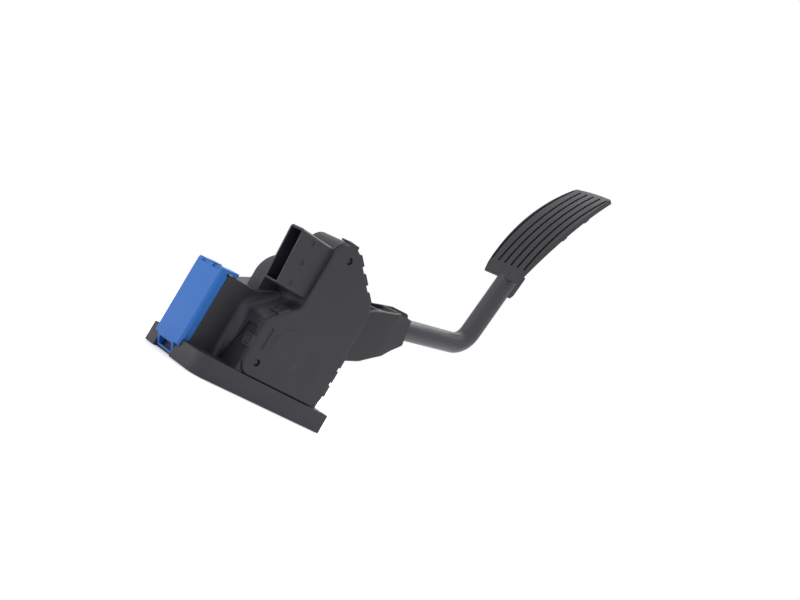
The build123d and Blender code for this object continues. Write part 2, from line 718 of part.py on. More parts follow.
def lock_clip():
    """Lock clip that caps the nose, with two top hooks and a slanted foot with a window."""
    x1 = CLIP_X + CLIP_DEPTH
    top = NOSE_TOP_Z + CLIP_TOP
    clip = block(CLIP_X, x1, NOSE_Y, NOSE_Y1, CLIP_FOOT_Z, top)
    front = clip.faces().sort_by(Axis.X)[0].edges().filter_by(Axis.Z)
    clip = chamfer(front, CLIP_CHAMFER)
    brow = clip.edges().filter_by(Axis.Y).sort_by(lambda edge: edge.center().Z - edge.center().X)[-1]
    clip = chamfer(brow, CLIP_BROW)
    clip -= block(CLIP_X + CLIP_PLATE, x1 + SINK, NOSE_Y + CLIP_WALL, NOSE_Y1 - CLIP_WALL,
                  BASE_T - SINK, NOSE_TOP_Z - CLIP_WALL)
    clip -= block(BASE_X0 - CLIP_GAP, x1 + SINK, NOSE_Y - SINK, NOSE_Y1 + SINK, 0, BASE_T + CLIP_GAP)
    for y0 in (NOSE_Y, NOSE_Y1 - HOOK_W):
        clip += prism(hook_points(top), y0, y0 + HOOK_W)
    for y0 in (NOSE_Y - SINK, NOSE_Y1 - CLIP_NOTCH_DEPTH):
        clip -= block(x1 - CLIP_NOTCH, x1, y0, y0 + CLIP_NOTCH_DEPTH + SINK,
                      NOSE_TOP_Z - CLIP_WALL, NOSE_TOP_Z)
    for share in DENTS:
        y = NOSE_Y1 - share * NOSE_W
        clip -= block(CLIP_X - SINK, CLIP_X + DENT_DEPTH, y - DENT_W / 2, y + DENT_W / 2,
                      top - DENT_H, top + SINK)
    return clip + clip_foot(NOSE_Y + NOSE_W / 2)


def hook_points(top):
    """Side outline of one top hook of the lock clip, anticlockwise."""
    x0 = CLIP_X + CLIP_CHAMFER
    x1 = CLIP_X + CLIP_DEPTH
    tip = x1 + HOOK_L
    seat = NOSE_TOP_Z + CLIP_GAP
    return [(x1 - SINK, seat), (tip - HOOK_LEAD, seat), (tip, seat + HOOK_LEAD),
            (tip - HOOK_LEAD / 2, top + HOOK_RISE), (x0, top + HOOK_HEEL),
            (x0, top - SINK), (x1 - SINK, top - SINK)]


def clip_foot(middle):
    """Slanted foot of the lock clip, hollow behind its window."""
    x1 = CLIP_X + CLIP_DEPTH
    lift = CLIP_FOOT_Z + SINK
    outline = [(CLIP_X, lift), (CLIP_X, CLIP_FOOT_Z), (x1 - CLIP_FOOT_WALL, CLIP_FOOT_END),
               (x1, CLIP_FOOT_END), (x1, BASE_T), (BASE_X0 + CLIP_GAP, BASE_T), (BASE_X0 + CLIP_GAP, lift)]
    foot = prism(outline, middle - CLIP_FOOT_Y / 2, middle + CLIP_FOOT_Y / 2)
    wide = CLIP_FOOT_Y / 2 - CLIP_FOOT_WALL
    z0 = (CLIP_FOOT_Z + CLIP_FOOT_END - CLIP_WINDOW_H) / 2
    return foot - block(CLIP_X - SINK, x1 + SINK, middle - wide, middle + wide, z0, z0 + CLIP_WINDOW_H)


def flanged_bush(y0, y1, flange_side):
    """Plain bush with a flange towards the hub."""
    bush = disc_y(PIVOT_X, PIVOT_Z, BUSH_R, y0, y1)
    if flange_side > 0:
        bush += disc_y(PIVOT_X, PIVOT_Z, BUSH_FLANGE_R, y1, y1 + BUSH_FLANGE)
    else:
        bush += disc_y(PIVOT_X, PIVOT_Z, BUSH_FLANGE_R, y0 - BUSH_FLANGE, y0)
    return bush - disc_y(PIVOT_X, PIVOT_Z, SHAFT_R + RUN_GAP, y0 - 2 * SINK, y1 + 2 * SINK)


def shaft_end_cut():
    """Flat on the near end of the shaft that turns the rotor."""
    z0 = PIVOT_Z + SHAFT_R - SHAFT_FLAT
    return block(PIVOT_X - SHAFT_R, PIVOT_X + SHAFT_R, ROTOR_Y - SINK, ROTOR_Y + ROTOR_T, z0, z0 + SHAFT_R)


def pivot_shaft():
    """Shaft with a collar, a flat for the rotor and a groove for the retaining ring."""
    shaft = disc_y(PIVOT_X, PIVOT_Z, SHAFT_R, ROTOR_Y, SHAFT_Y1)
    shaft = chamfer(shaft.edges().sort_by(Axis.Y)[-1], CLIP_RING_GROOVE)
    collar = ROTOR_Y + ROTOR_T + BUSH_PLAY
    shaft += disc_y(PIVOT_X, PIVOT_Z, COLLAR_R, collar, collar + COLLAR_T)
    shaft -= shaft_end_cut()
    groove = disc_y(PIVOT_X, PIVOT_Z, SHAFT_R + SINK, RING_Y, RING_Y + CLIP_RING_T)
    core = disc_y(PIVOT_X, PIVOT_Z, SHAFT_R - CLIP_RING_GROOVE, RING_Y, RING_Y + CLIP_RING_T)
    return shaft - (groove - core)


def shaft_ring():
    """Open retaining ring on the far end of the shaft."""
    y1 = RING_Y + CLIP_RING_T
    bore = SHAFT_R - CLIP_RING_GROOVE + FIT_GAP
    ring = disc_y(PIVOT_X, PIVOT_Z, CLIP_RING_R, RING_Y, y1) - disc_y(PIVOT_X, PIVOT_Z, bore, RING_Y, y1)
    mouth = bore * 0.8
    low = PIVOT_Z - 2 * CLIP_RING_R
    return ring - block(PIVOT_X - mouth, PIVOT_X + mouth, RING_Y, y1, low, PIVOT_Z)


def sensor_rotor():
    """Rotor on the near end of the shaft, with a seat for the ring magnet."""
    rotor = disc_y(PIVOT_X, PIVOT_Z, ROTOR_R, ROTOR_Y, ROTOR_Y + ROTOR_T)
    bore = disc_y(PIVOT_X, PIVOT_Z, SHAFT_R + FIT_GAP, ROTOR_Y - SINK, ROTOR_Y + ROTOR_T + SINK)
    rotor -= bore - Pos(0, 0, FIT_GAP) * shaft_end_cut()
    seat = disc_y(PIVOT_X, PIVOT_Z, MAGNET_R, ROTOR_Y - SINK, ROTOR_Y + MAGNET_T)
    return rotor - (seat - disc_y(PIVOT_X, PIVOT_Z, MAGNET_BORE_R, ROTOR_Y - SINK, ROTOR_Y + MAGNET_T))


def rotor_magnet():
    """Ring magnet in the rotor."""
    y1 = ROTOR_Y + MAGNET_T
    ring = disc_y(PIVOT_X, PIVOT_Z, MAGNET_R - FIT_GAP, ROTOR_Y, y1)
    return ring - disc_y(PIVOT_X, PIVOT_Z, MAGNET_BORE_R + FIT_GAP, ROTOR_Y, y1)


def sensor_board():
    """Circuit board on four posts, with holes for the pegs and the contact pins."""
    points = inset(body_points(FRONT_X + RECESS_DEPTH, BASE_T), WALL + BOARD_EDGE)
    board = prism(points, BOARD_Y, BOARD_Y + BOARD_T, body_radii(WALL + BOARD_EDGE))
    board &= block(FRONT_X, BOARD_REAR_X, BOARD_Y, BOARD_Y + BOARD_T, BOARD_FOOT_Z, TOP_Z)
    for x, z in POSTS:
        board -= disc_y(x, z, PEG_R + FIT_GAP, BOARD_Y - SINK, BOARD_Y + BOARD_T + SINK)
    for x, z in cover_holes():
        board -= disc_y(x, z, COVER_HOLE_R + COVER_PEG_GAP, BOARD_Y - SINK, BOARD_Y + BOARD_T + SINK)
    for z in pin_heights():
        board -= disc_y(pin_bend_x(), z, PIN_SIZE, BOARD_Y - SINK, BOARD_Y + BOARD_T + SINK)
    return board


def sensor_chips():
    """Two sensor chips on the cover side of the board."""
    chips = []
    for side in (-1, 1):
        x = PIVOT_X + side * CHIP_OUT
        chips.append(block(x - CHIP_W / 2, x + CHIP_W / 2, BOARD_Y - CHIP_T, BOARD_Y,
                           PIVOT_Z - CHIP_L / 2, PIVOT_Z + CHIP_L / 2))
    return Compound(children=chips)


def pin_bend_x():
    """Place along X where the contact pins turn towards the board."""
    return NECK_X + WALL + BOARD_EDGE + 2 * PIN_SIZE


def contact_pins():
    """Bent contact pins from the plug socket to the board."""
    pins = []
    half = PIN_SIZE / 2
    tip = SOCKET_X + PIN_TIP
    bend = pin_bend_x()
    for z in pin_heights():
        run = block(tip, bend + half, SOCKET_Y - half, SOCKET_Y + half, z - half, z + half)
        run = chamfer(run.faces().sort_by(Axis.X)[0].edges(), half / 2)
        leg = block(bend - half, bend + half, BOARD_Y - CHIP_T, SOCKET_Y, z - half, z + half)
        pins.append(run + leg)
    return Compound(children=pins)


def mounting_sleeves():
    """Steel sleeves in the two screw holes."""
    sleeves = []
    for x, y in hole_places():
        sleeve = disc_z(x, y, SLEEVE_OUT_R - FIT_GAP, 0, BASE_T)
        sleeves.append(sleeve - disc_z(x, y, HOLE_R, -SINK, BASE_T + SINK))
    return Compound(children=sleeves)


def hub_points():
    """Side outline of the lever hub, anticlockwise from its heel."""
    low = step(ROD_MOUTH, ROD_SLOPE - 90.0, SLEEVE_R)
    high = step(ROD_MOUTH, ROD_SLOPE + 90.0, SLEEVE_TOP)
    brow = (ROD_MOUTH[0] + HUB_BROW[0], ROD_MOUTH[1] + HUB_BROW[1])
    jaw = (ROD_MOUTH[0] + HUB_JAW[0], ROD_MOUTH[1] + HUB_JAW[1])
    return [HUB_HEEL, HUB_CHIN, jaw, low, high, brow, HUB_KNEE, HUB_CROWN]


def hub_plan(margin):
    """Block with the hub's outline from above, inside its sides by a margin."""
    half, tip = HUB_W / 2 - margin, HUB_TIP_W / 2 - margin
    start, end = PIVOT_X - 2 * BARREL_R, ROD_MOUTH[0] + SLEEVE_R
    cut = ROD_MOUTH[0] - HUB_TIP_CUT
    side = [(start, half), (HUB_TAPER_X, half), (cut, tip), (end, ROD_R + HUB_RIB - margin)]
    plan = [(x, -y) for x, y in side] + side[::-1]
    return Pos(0, PEDAL_Y, 0) * extrude(make_face(Polyline(*plan, close=True)), 2 * TOP_Z)


def hub_pockets():
    """Open-topped pockets of the hub between its cross ribs, the first one with a solid middle."""
    y0, y1 = PEDAL_Y - HUB_W / 2, PEDAL_Y + HUB_W / 2
    points = inset(hub_points(), HUB_FLOOR)
    room = prism(points, y0, y1)
    for lift in (1, 2):
        room += Pos(0, 0, lift * HUB_FLOOR * 2) * prism(points, y0, y1)
    room &= hub_plan(HUB_WALL)
    start, end = PIVOT_X + BARREL_R + HUB_WALL, ROD_MOUTH[0] + HUB_BROW[0] - HUB_RIB
    for x in HUB_RIBS:
        room -= block(x - HUB_RIB / 2, x + HUB_RIB / 2, y0, y1, 0, 2 * TOP_Z)
    room &= block(start, end, y0, y1, 0, 2 * TOP_Z)
    room -= block(start, HUB_RIBS[0], PEDAL_Y - HUB_WEB / 2, PEDAL_Y + HUB_WEB / 2, 0, 2 * TOP_Z)
    return room - tube_between(ROD_TAIL, step(ROD_MOUTH, ROD_SLOPE, SLEEVE_R), PEDAL_Y, SLEEVE_R)


def pedal_hub():
    """Lever hub: barrel on the shaft, open-topped box arm and sleeve for the rod."""
    y0, y1 = PEDAL_Y - HUB_W / 2, PEDAL_Y + HUB_W / 2
    arm = prism(hub_points(), y0, y1, HUB_CORNERS) + disc_y(PIVOT_X, PIVOT_Z, BARREL_R, y0, y1)
    sides = arm.faces().sort_by(Axis.Y)
    arm = chamfer(sides[0].edges() + sides[-1].edges(), HUB_EDGE)
    arm &= hub_plan(0)
    arm -= hub_pockets()
    near_top = ROD_MOUTH[1] + HUB_BROW[1] - HUB_NEAR_DROP
    arm -= block(HUB_KNEE[0], 2 * ROD_MOUTH[0], y0, PEDAL_Y - HUB_WEB / 2, near_top, 2 * TOP_Z)
    arm -= disc_y(PIVOT_X, PIVOT_Z, SHAFT_R + FIT_GAP, y0 - SINK, y1 + SINK)
    seat = BUSH_FLANGE + BUSH_PLAY - HUB_GAP
    for edge, inward in ((y0, 1), (y1, -1)):
        low, high = sorted((edge - inward * SINK, edge + inward * seat))
        arm -= disc_y(PIVOT_X, PIVOT_Z, BUSH_FLANGE_R + HUB_GAP, low, high)
    return arm - tube_between(ROD_TAIL, step(ROD_MOUTH, ROD_SLOPE, 2 * SLEEVE_R), PEDAL_Y, ROD_R + FIT_GAP)


def pedal_rod():
    """Bent steel tube from the hub to the pad."""
    path = Plane.XZ.offset(-PEDAL_Y) * FilletPolyline(ROD_TAIL, ROD_ELBOW, ROD_TIP, radius=ROD_BEND_R)
    start = Plane(origin=path @ 0, z_dir=path % 0)
    ring = start * (Circle(ROD_R) - Circle(ROD_R - ROD_WALL))
    return sweep(ring, path=path)


def pad_point(along, behind):
    """Point in X and Z at a distance along the pad's chord and behind it."""
    base = step(PAD_FOOT, 90.0 - PAD_LEAN, along)
    return step(base, -PAD_LEAN, behind)


def pad_circle():
    """Centre and radius of the pad's bowed face."""
    radius = PAD_CHORD ** 2 / (8 * PAD_BOW) + PAD_BOW / 2
    return pad_point(PAD_CHORD / 2, radius - PAD_BOW), radius


def pad_face(along, depth):
    """Point in X and Z on the bowed face, or at a depth under it, at a distance along the chord."""
    _, radius = pad_circle()
    drop = math.sqrt((radius - depth) ** 2 - (along - PAD_CHORD / 2) ** 2)
    return pad_point(along, radius - PAD_BOW - drop)


def pad_band(outer, inner, foot_margin, top_margin):
    """Face between two circles about the bow's centre, short of the pad's ends by two margins."""
    centre, _ = pad_circle()
    ring = Pos(*centre) * (Circle(outer) - Circle(inner))
    end = PAD_CHORD - top_margin
    corners = [pad_point(foot_margin, -2 * PAD_BOW), pad_point(foot_margin, 2 * PAD_BOW),
               pad_point(end, 2 * PAD_BOW), pad_point(end, -2 * PAD_BOW)]
    return ring & make_face(Polyline(*corners, close=True))


def pad_slab(face, y0, y1):
    """Solid with a face in X and Z, from y0 to y1."""
    return extrude(Plane.XZ.offset(-y1) * face, y1 - y0)


def pad_through(face):
    """Solid that takes a plan face, drawn along the chord and across it, right through the pad."""
    lean = math.radians(PAD_LEAN)
    frame = Plane(origin=(PAD_FOOT[0], PAD_Y, PAD_FOOT[1]), x_dir=(math.sin(lean), 0, math.cos(lean)),
                  z_dir=(math.cos(lean), 0, -math.sin(lean)))
    return extrude(frame * face, 4 * PAD_BOW, both=True)


def pad_plan(skin):
    """Plan of the pad with its swelled sides and crowned top, smaller by a skin."""
    half = PAD_W / 2 - skin
    middle = PAD_CHORD / 2
    low = -2 * PAD_LIP
    near = ThreePointArc((0, half), (middle, half + PAD_SWELL), (PAD_CHORD, half))
    crown = ThreePointArc((PAD_CHORD, half), (PAD_CHORD + PAD_CROWN, 0), (PAD_CHORD, -half))
    far = ThreePointArc((PAD_CHORD, -half), (middle, -half - PAD_SWELL), (0, -half))
    foot = Polyline((0, -half), (low, -half), (low, half), (0, half))
    return make_face(Curve() + [near, crown, far, foot])


def pad_shell():
    """Bowed pad of even depth, hollow at the back between its cross ribs."""
    end = PAD_CHORD + 2 * PAD_CROWN
    lip_low = (PAD_FOOT[0] + PAD_TUCK, PAD_FOOT[1] - PAD_LIP)
    lip_back = (lip_low[0] + PAD_SKIN, lip_low[1])
    bow = ThreePointArc(PAD_FOOT, pad_face(PAD_CHORD / 2, 0), pad_face(end, 0))
    top = Polyline(pad_face(end, 0), pad_face(end, PAD_DEPTH))
    back = ThreePointArc(pad_face(end, PAD_DEPTH), pad_face(PAD_CHORD / 2, PAD_DEPTH), pad_face(0, PAD_DEPTH))
    lip = Polyline(pad_face(0, PAD_DEPTH), lip_back, lip_low, PAD_FOOT)
    wide = PAD_W / 2 + PAD_SWELL + SINK
    shell = pad_slab(make_face(Curve() + [bow, top, back, lip]), PAD_Y - wide, PAD_Y + wide)
    shell &= pad_through(pad_plan(0))
    _, radius = pad_circle()
    hollow_face = pad_band(radius - PAD_SKIN, radius - 2 * PAD_BOW, PAD_LIP, PAD_LIP)
    hollow = pad_slab(hollow_face, PAD_Y - wide, PAD_Y + wide) & pad_through(pad_plan(PAD_SKIN))
    for i in range(1, PAD_RIBS):
        along = PAD_LIP + (PAD_CHORD - 2 * PAD_LIP) * i / PAD_RIBS
        spot = pad_point(along, 0)
        hollow -= Pos(spot[0], PAD_Y, spot[1]) * Rot(Y=PAD_LEAN) * Box(4 * PAD_BOW, 2 * wide, PAD_RIB)
    for share in PAD_NUBS:
        spot = pad_face(share * PAD_CHORD, PAD_DEPTH)
        nub = Rot(Y=PAD_LEAN) * Box(2 * PAD_NUB_T, PAD_SKIN, PAD_NUB_L)
        side = PAD_W / 2 + PAD_SWELL * (1 - (2 * share - 1) ** 2) - PAD_SKIN / 2 - PAD_EDGE / 2
        shell += Pos(spot[0], PAD_Y - side, spot[1]) * nub
    return shell - hollow


def pad_grooves():
    """Lengthwise grooves in the tread of the pad, the farthest one swelled like the pad's side."""
    _, radius = pad_circle()
    face = pad_band(radius + SINK, radius - GROOVE_DEPTH, GROOVE_END, GROOVE_TOP)
    grooves = []
    for i in range(GROOVES - 1):
        y = PAD_Y + (i - (GROOVES - 1) / 2) * GROOVE_PITCH
        grooves.append(pad_slab(face, y - GROOVE_W / 2, y + GROOVE_W / 2))
    inner = -(GROOVES - 1) / 2 * GROOVE_PITCH + GROOVE_W / 2
    outer = inner - GROOVE_W
    middle = PAD_CHORD / 2
    edge = ThreePointArc((0, inner), (middle, inner - GROOVE_SWELL), (PAD_CHORD, inner))
    rim = ThreePointArc((0, outer), (middle, outer - GROOVE_SWELL), (PAD_CHORD, outer))
    ends = [Polyline((0, inner), (0, outer)), Polyline((PAD_CHORD, inner), (PAD_CHORD, outer))]
    swelled = pad_through(make_face(Curve() + [edge, rim] + ends))
    grooves.append(swelled & pad_slab(face, PAD_Y, PAD_Y + PAD_W))
    return grooves


def pad_socket():
    """Socket on the back of the pad, closed behind the rod and open in front of it below the pad."""
    end = step(ROD_TIP, 90.0 - ROD_LEAN, SOCKET_WALL_T)
    drop = PAD_FOOT[1] - SOCKET_DROP
    low = step(ROD_TIP, 270.0 - ROD_LEAN, (ROD_TIP[1] - drop) / math.cos(math.radians(ROD_LEAN)))
    half = ROD_R + SOCKET_WALL_T
    front_low = step(low, -ROD_LEAN, FIT_GAP)
    back = step(low, -ROD_LEAN, half)
    points = [front_low, step(back, 180.0 - ROD_LEAN, SOCKET_BEVEL / 2),
              step(back, 90.0 - ROD_LEAN, SOCKET_BEVEL), step(end, -ROD_LEAN, half),
              step(end, 180.0 - ROD_LEAN, ROD_R), step(front_low, 90.0 - ROD_LEAN, SOCKET_DROP)]
    return prism(points, PEDAL_Y - SOCKET_SIDE, PEDAL_Y + SOCKET_SIDE)


def pedal_pad():
    """Pad with a bowed, grooved tread and a socket for the rod."""
    centre, radius = pad_circle()
    inside = pad_slab(Pos(*centre) * Circle(radius - PAD_SKIN), PEDAL_Y - PAD_W, PEDAL_Y + PAD_W)
    pad = pad_shell() + (pad_socket() & inside)
    pad -= pad_grooves()
    below = step(ROD_TIP, 270.0 - ROD_LEAN, 2 * SOCKET_DROP + ROD_RISE / 2)
    return pad - tube_between(below, ROD_TIP, PEDAL_Y, ROD_R + FIT_GAP)


def coil(radius, wire_r, turns):
    """Coil spring that stands in the well, its ends level with the seat and the cap."""
    height = SPRING_CAP_Z - SPRING_SEAT_Z - 2 * wire_r
    path = Helix(height / turns, height, radius - wire_r, center=(0, 0, 0))
    wire = Plane(origin=path @ 0, z_dir=path % 0) * Circle(wire_r)
    spring = sweep(wire, path=path, is_frenet=True)
    return Pos(SPRING_X, PEDAL_Y, SPRING_SEAT_Z + wire_r) * spring


def spring_cap():
    """Cap under the hub that the return springs push on."""
    top = heel_z(SPRING_X + OUTER_R) + SINK
    cap = disc_z(SPRING_X, PEDAL_Y, OUTER_R, SPRING_CAP_Z, top)
    cap += disc_z(SPRING_X, PEDAL_Y, SPIGOT_R, SPRING_CAP_Z - SPIGOT_L, SPRING_CAP_Z)
    return cap - prism(hub_points(), PEDAL_Y - HUB_W, PEDAL_Y + HUB_W)


def idle_buffer():
    """Rubber stop between the hub and the chamber's ceiling, for the released pedal."""
    foot = step(step(HUB_CROWN, TOP_ANGLE, IDLE_AT), TOP_ANGLE + 90.0, (IDLE_SPACE + STOP_GAP) / 2)
    place = Pos(foot[0], PEDAL_Y, foot[1]) * Rot(Y=-TOP_ANGLE)
    return place * Box(IDLE_L, IDLE_W, IDLE_SPACE - STOP_GAP)


def full_travel_buffer():
    """Rubber stop on its post, for the fully pressed pedal."""
    front, rear = stop_post_x()
    top = stop_top_z()
    pad = block(front, rear - FIT_GAP, PEDAL_Y - STOP_W / 2, PEDAL_Y + STOP_W / 2, top - STOP_T, top)
    return chamfer(pad.faces().sort_by(Axis.Z)[-1].edges(), PAD_EDGE)


NODES = {
    "housing": housing,
    "side_cover": side_cover,
    "lock_clip": lock_clip,
    "near_bush": lambda: flanged_bush(PARTITION_Y, CAVITY_Y0, 1),
    "far_bush": lambda: flanged_bush(CAVITY_Y1, BOSS_Y, -1),
    "pivot_shaft": pivot_shaft,
    "shaft_ring": shaft_ring,
    "sensor_rotor": sensor_rotor,
    "rotor_magnet": rotor_magnet,
    "sensor_board": sensor_board,
    "sensor_chips": sensor_chips,
    "contact_pins": contact_pins,
    "mounting_sleeves": mounting_sleeves,
    "pedal_hub": pedal_hub,
    "pedal_rod": pedal_rod,
    "pedal_pad": pedal_pad,
    "outer_return_spring": lambda: coil(OUTER_R, OUTER_WIRE_R, OUTER_TURNS),
    "inner_return_spring": lambda: coil(INNER_R, INNER_WIRE_R, INNER_TURNS),
    "spring_cap": spring_cap,
    "idle_buffer": idle_buffer,
    "full_travel_buffer": full_travel_buffer,
}

os.makedirs("parts", exist_ok=True)
for name, make in NODES.items():
    export_step(make(), f"parts/{name}.step")
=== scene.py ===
"""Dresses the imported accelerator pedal: rounded mouldings, a bent rod, coil springs and their finishes."""
from __future__ import annotations

import logging
import math
from dataclasses import dataclass, field
from enum import Enum
from functools import cache
from typing import Any

import bmesh
import bpy
from mathutils import Matrix, Vector


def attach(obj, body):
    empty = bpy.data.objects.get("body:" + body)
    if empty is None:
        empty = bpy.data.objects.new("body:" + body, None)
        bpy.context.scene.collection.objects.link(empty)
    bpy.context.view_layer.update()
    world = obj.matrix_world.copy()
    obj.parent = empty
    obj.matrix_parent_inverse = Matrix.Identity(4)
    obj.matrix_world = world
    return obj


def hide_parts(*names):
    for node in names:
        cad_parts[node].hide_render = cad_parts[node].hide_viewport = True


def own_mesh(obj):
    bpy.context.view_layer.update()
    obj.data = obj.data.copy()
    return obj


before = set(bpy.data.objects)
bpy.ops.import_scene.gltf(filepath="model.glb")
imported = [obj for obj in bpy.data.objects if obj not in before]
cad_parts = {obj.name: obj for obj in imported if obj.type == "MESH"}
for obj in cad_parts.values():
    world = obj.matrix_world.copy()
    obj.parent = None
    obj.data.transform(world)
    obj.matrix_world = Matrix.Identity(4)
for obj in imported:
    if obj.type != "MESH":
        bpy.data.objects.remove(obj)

LOG = logging.getLogger("pedal")
MM = 0.001
# Corners of loose triangles that are closer than this are one corner.
WELD_MM = 0.002
# Refraction of nylon, acetal, paint, rubber and epoxy, which differ too little to be seen.
PLASTIC_IOR = 1.5
# Levels between which nearly all of a noise pattern lies.
NOISE_LOW = 0.3
NOISE_HIGH = 0.7
# Levels of a noise pattern between which a stain or a speck fades in.
PATCH_LOW = 0.45
PATCH_HIGH = 0.75
# Places of the colour sockets on a Mix node, which shares their names with its other types.
MIX_SHARE = 0
MIX_FIRST = 6
MIX_SECOND = 7
MIX_COLOUR = 2
WHITE = "#FFFFFF"
Vec3 = tuple[float, float, float]
Socket = bpy.types.NodeSocket
Tree = bpy.types.NodeTree


class Body(Enum):
    """The two bodies that move against each other."""

    BASE = "base"
    PEDAL = "pedal"


class Lay(Enum):
    """Direction of the fine tool or drawing marks on a metal."""

    TURNED = "turned"
    DRAWN = "drawn"
    EVEN = "even"


# How a mark is stretched for each lay; the shaft turns about Y and the pins are drawn along X.
MARK_STRETCH = {Lay.TURNED: (0.04, 1.0, 0.04), Lay.DRAWN: (0.08, 1.0, 1.0), Lay.EVEN: (1.0, 1.0, 1.0)}


def linear(hex_colour: str) -> tuple[float, float, float, float]:
    """Turns an sRGB hex colour into linear values.

    Args:
        hex_colour: Colour as six hex digits with a leading hash.

    Returns:
        Linear red, green, blue and an alpha of one.
    """
    parts = [int(hex_colour[i:i + 2], 16) / 255.0 for i in (1, 3, 5)]
    flat = [p / 12.92 if p <= 0.04045 else ((p + 0.055) / 1.055) ** 2.4 for p in parts]
    return flat[0], flat[1], flat[2], 1.0


def shade(hex_colour: str, factor: float) -> list[float]:
    """Linear values of a colour, made lighter or darker by a factor."""
    return [value * factor for value in linear(hex_colour)[:3]] + [1.0]


def per_mm(size_mm: float) -> float:
    """Pattern scale that repeats about once in a size, on coordinates in metres."""
    return 1.0 / (size_mm * MM)


def add_node(tree: Tree, kind: str, inputs: dict[str | int, Any] | None = None,
             **settings: Any) -> bpy.types.Node:
    """Adds a node with its settings, values and links.

    Args:
        tree: Tree that gets the node.
        kind: Blender's name of the node type.
        inputs: Value or source socket for each input, by name or place.
        settings: Attributes of the node.

    Returns:
        The new node.
    """
    node = tree.nodes.new(kind)
    for key, value in settings.items():
        setattr(node, key, value)
    for key, value in (inputs or {}).items():
        if isinstance(value, Socket):
            tree.links.new(value, node.inputs[key])
        else:
            node.inputs[key].default_value = value
    return node


def new_material(name: str) -> tuple[bpy.types.Material, Tree]:
    """Makes an empty node material.

    Args:
        name: Name of the material.

    Returns:
        The material and its node tree.
    """
    material = bpy.data.materials.new(name)
    material.use_nodes = True
    material.node_tree.nodes.clear()
    return material, material.node_tree


@dataclass(frozen=True)
class Moulded:
    """Glass-filled nylon or acetal from a steel mould: satin, fine-grained, with a painted highlight that
    makes the edges paler.
    """

    name: str
    colour: str
    # Paler colour painted along the edges as a highlight.
    painted_edge_highlight: str
    roughness: float = 0.5
    gloss_swing: float = 0.05
    grain_mm: float = 0.55
    grain_depth_mm: float = 0.008
    grain_strength: float = 0.6
    cloud_mm: float = 16.0
    cloud: float = 0.1
    edge_mm: float = 0.5
    edge_samples: int = 6
    # Largest share of the painted edge highlight in the colour.
    edge_highlight_share: float = 0.35
    # Cosines between the true and the rounded normal where the painted edge highlight starts, and where it is
    # full.
    highlight_start: float = 0.99
    highlight_full: float = 0.8

    def material(self) -> bpy.types.Material:
        """Builds the finish: cloudy colour, a painted highlight along the edges, grain in the bump, clouds in
        the gloss.

        Returns:
            The new material.
        """
        material, tree = new_material(self.name)
        place = add_node(tree, "ShaderNodeTexCoord").outputs["Object"]
        # The real spark-eroded grain is about 0.15 mm; it is drawn coarser so that it shows.
        grain = add_node(tree, "ShaderNodeTexNoise", {
            "Vector": place, "Scale": per_mm(self.grain_mm), "Detail": 3.0, "Roughness": 0.6})
        cloud = add_node(tree, "ShaderNodeTexNoise", {
            "Vector": place, "Scale": per_mm(self.cloud_mm), "Detail": 2.0, "Roughness": 0.5})
        round_edge = add_node(tree, "ShaderNodeBevel", {"Radius": self.edge_mm * MM},
                              samples=self.edge_samples)
        true_normal = add_node(tree, "ShaderNodeNewGeometry").outputs["Normal"]
        facing = add_node(tree, "ShaderNodeVectorMath", {0: round_edge.outputs[0], 1: true_normal},
                          operation="DOT_PRODUCT")
        # Painted highlight: at the edges, where the rounded normal turns away from the true one, the colour
        # goes paler, broken up by the grain.
        painted_edge_highlight = add_node(tree, "ShaderNodeMapRange", {
            "Value": facing.outputs["Value"], "From Min": self.highlight_start, "From Max": self.highlight_full,
            "To Min": 0.0, "To Max": self.edge_highlight_share})
        grainy_highlight = add_node(tree, "ShaderNodeMath", {0: painted_edge_highlight.outputs[0], 1: grain.outputs["Fac"]},
                          operation="MULTIPLY")
        clean = add_node(tree, "ShaderNodeMix", {
            MIX_SHARE: cloud.outputs["Fac"], MIX_FIRST: shade(self.colour, 1 - self.cloud),
            MIX_SECOND: shade(self.colour, 1 + self.cloud)}, data_type="RGBA")
        colour = add_node(tree, "ShaderNodeMix", {
            MIX_SHARE: grainy_highlight.outputs[0], MIX_FIRST: clean.outputs[MIX_COLOUR],
            MIX_SECOND: linear(self.painted_edge_highlight)}, data_type="RGBA")
        gloss = add_node(tree, "ShaderNodeMapRange", {
            "Value": cloud.outputs["Fac"], "From Min": NOISE_LOW, "From Max": NOISE_HIGH,
            "To Min": self.roughness - self.gloss_swing, "To Max": self.roughness + self.gloss_swing})
        bump = add_node(tree, "ShaderNodeBump", {
            "Strength": self.grain_strength, "Distance": self.grain_depth_mm * MM,
            "Height": grain.outputs["Fac"], "Normal": round_edge.outputs[0]})
        shader = add_node(tree, "ShaderNodeBsdfPrincipled", {
            "Base Color": colour.outputs[MIX_COLOUR], "Roughness": gloss.outputs[0], "IOR": PLASTIC_IOR,
            "Normal": bump.outputs[0]})
        add_node(tree, "ShaderNodeOutputMaterial", {"Surface": shader.outputs[0]})
        return material


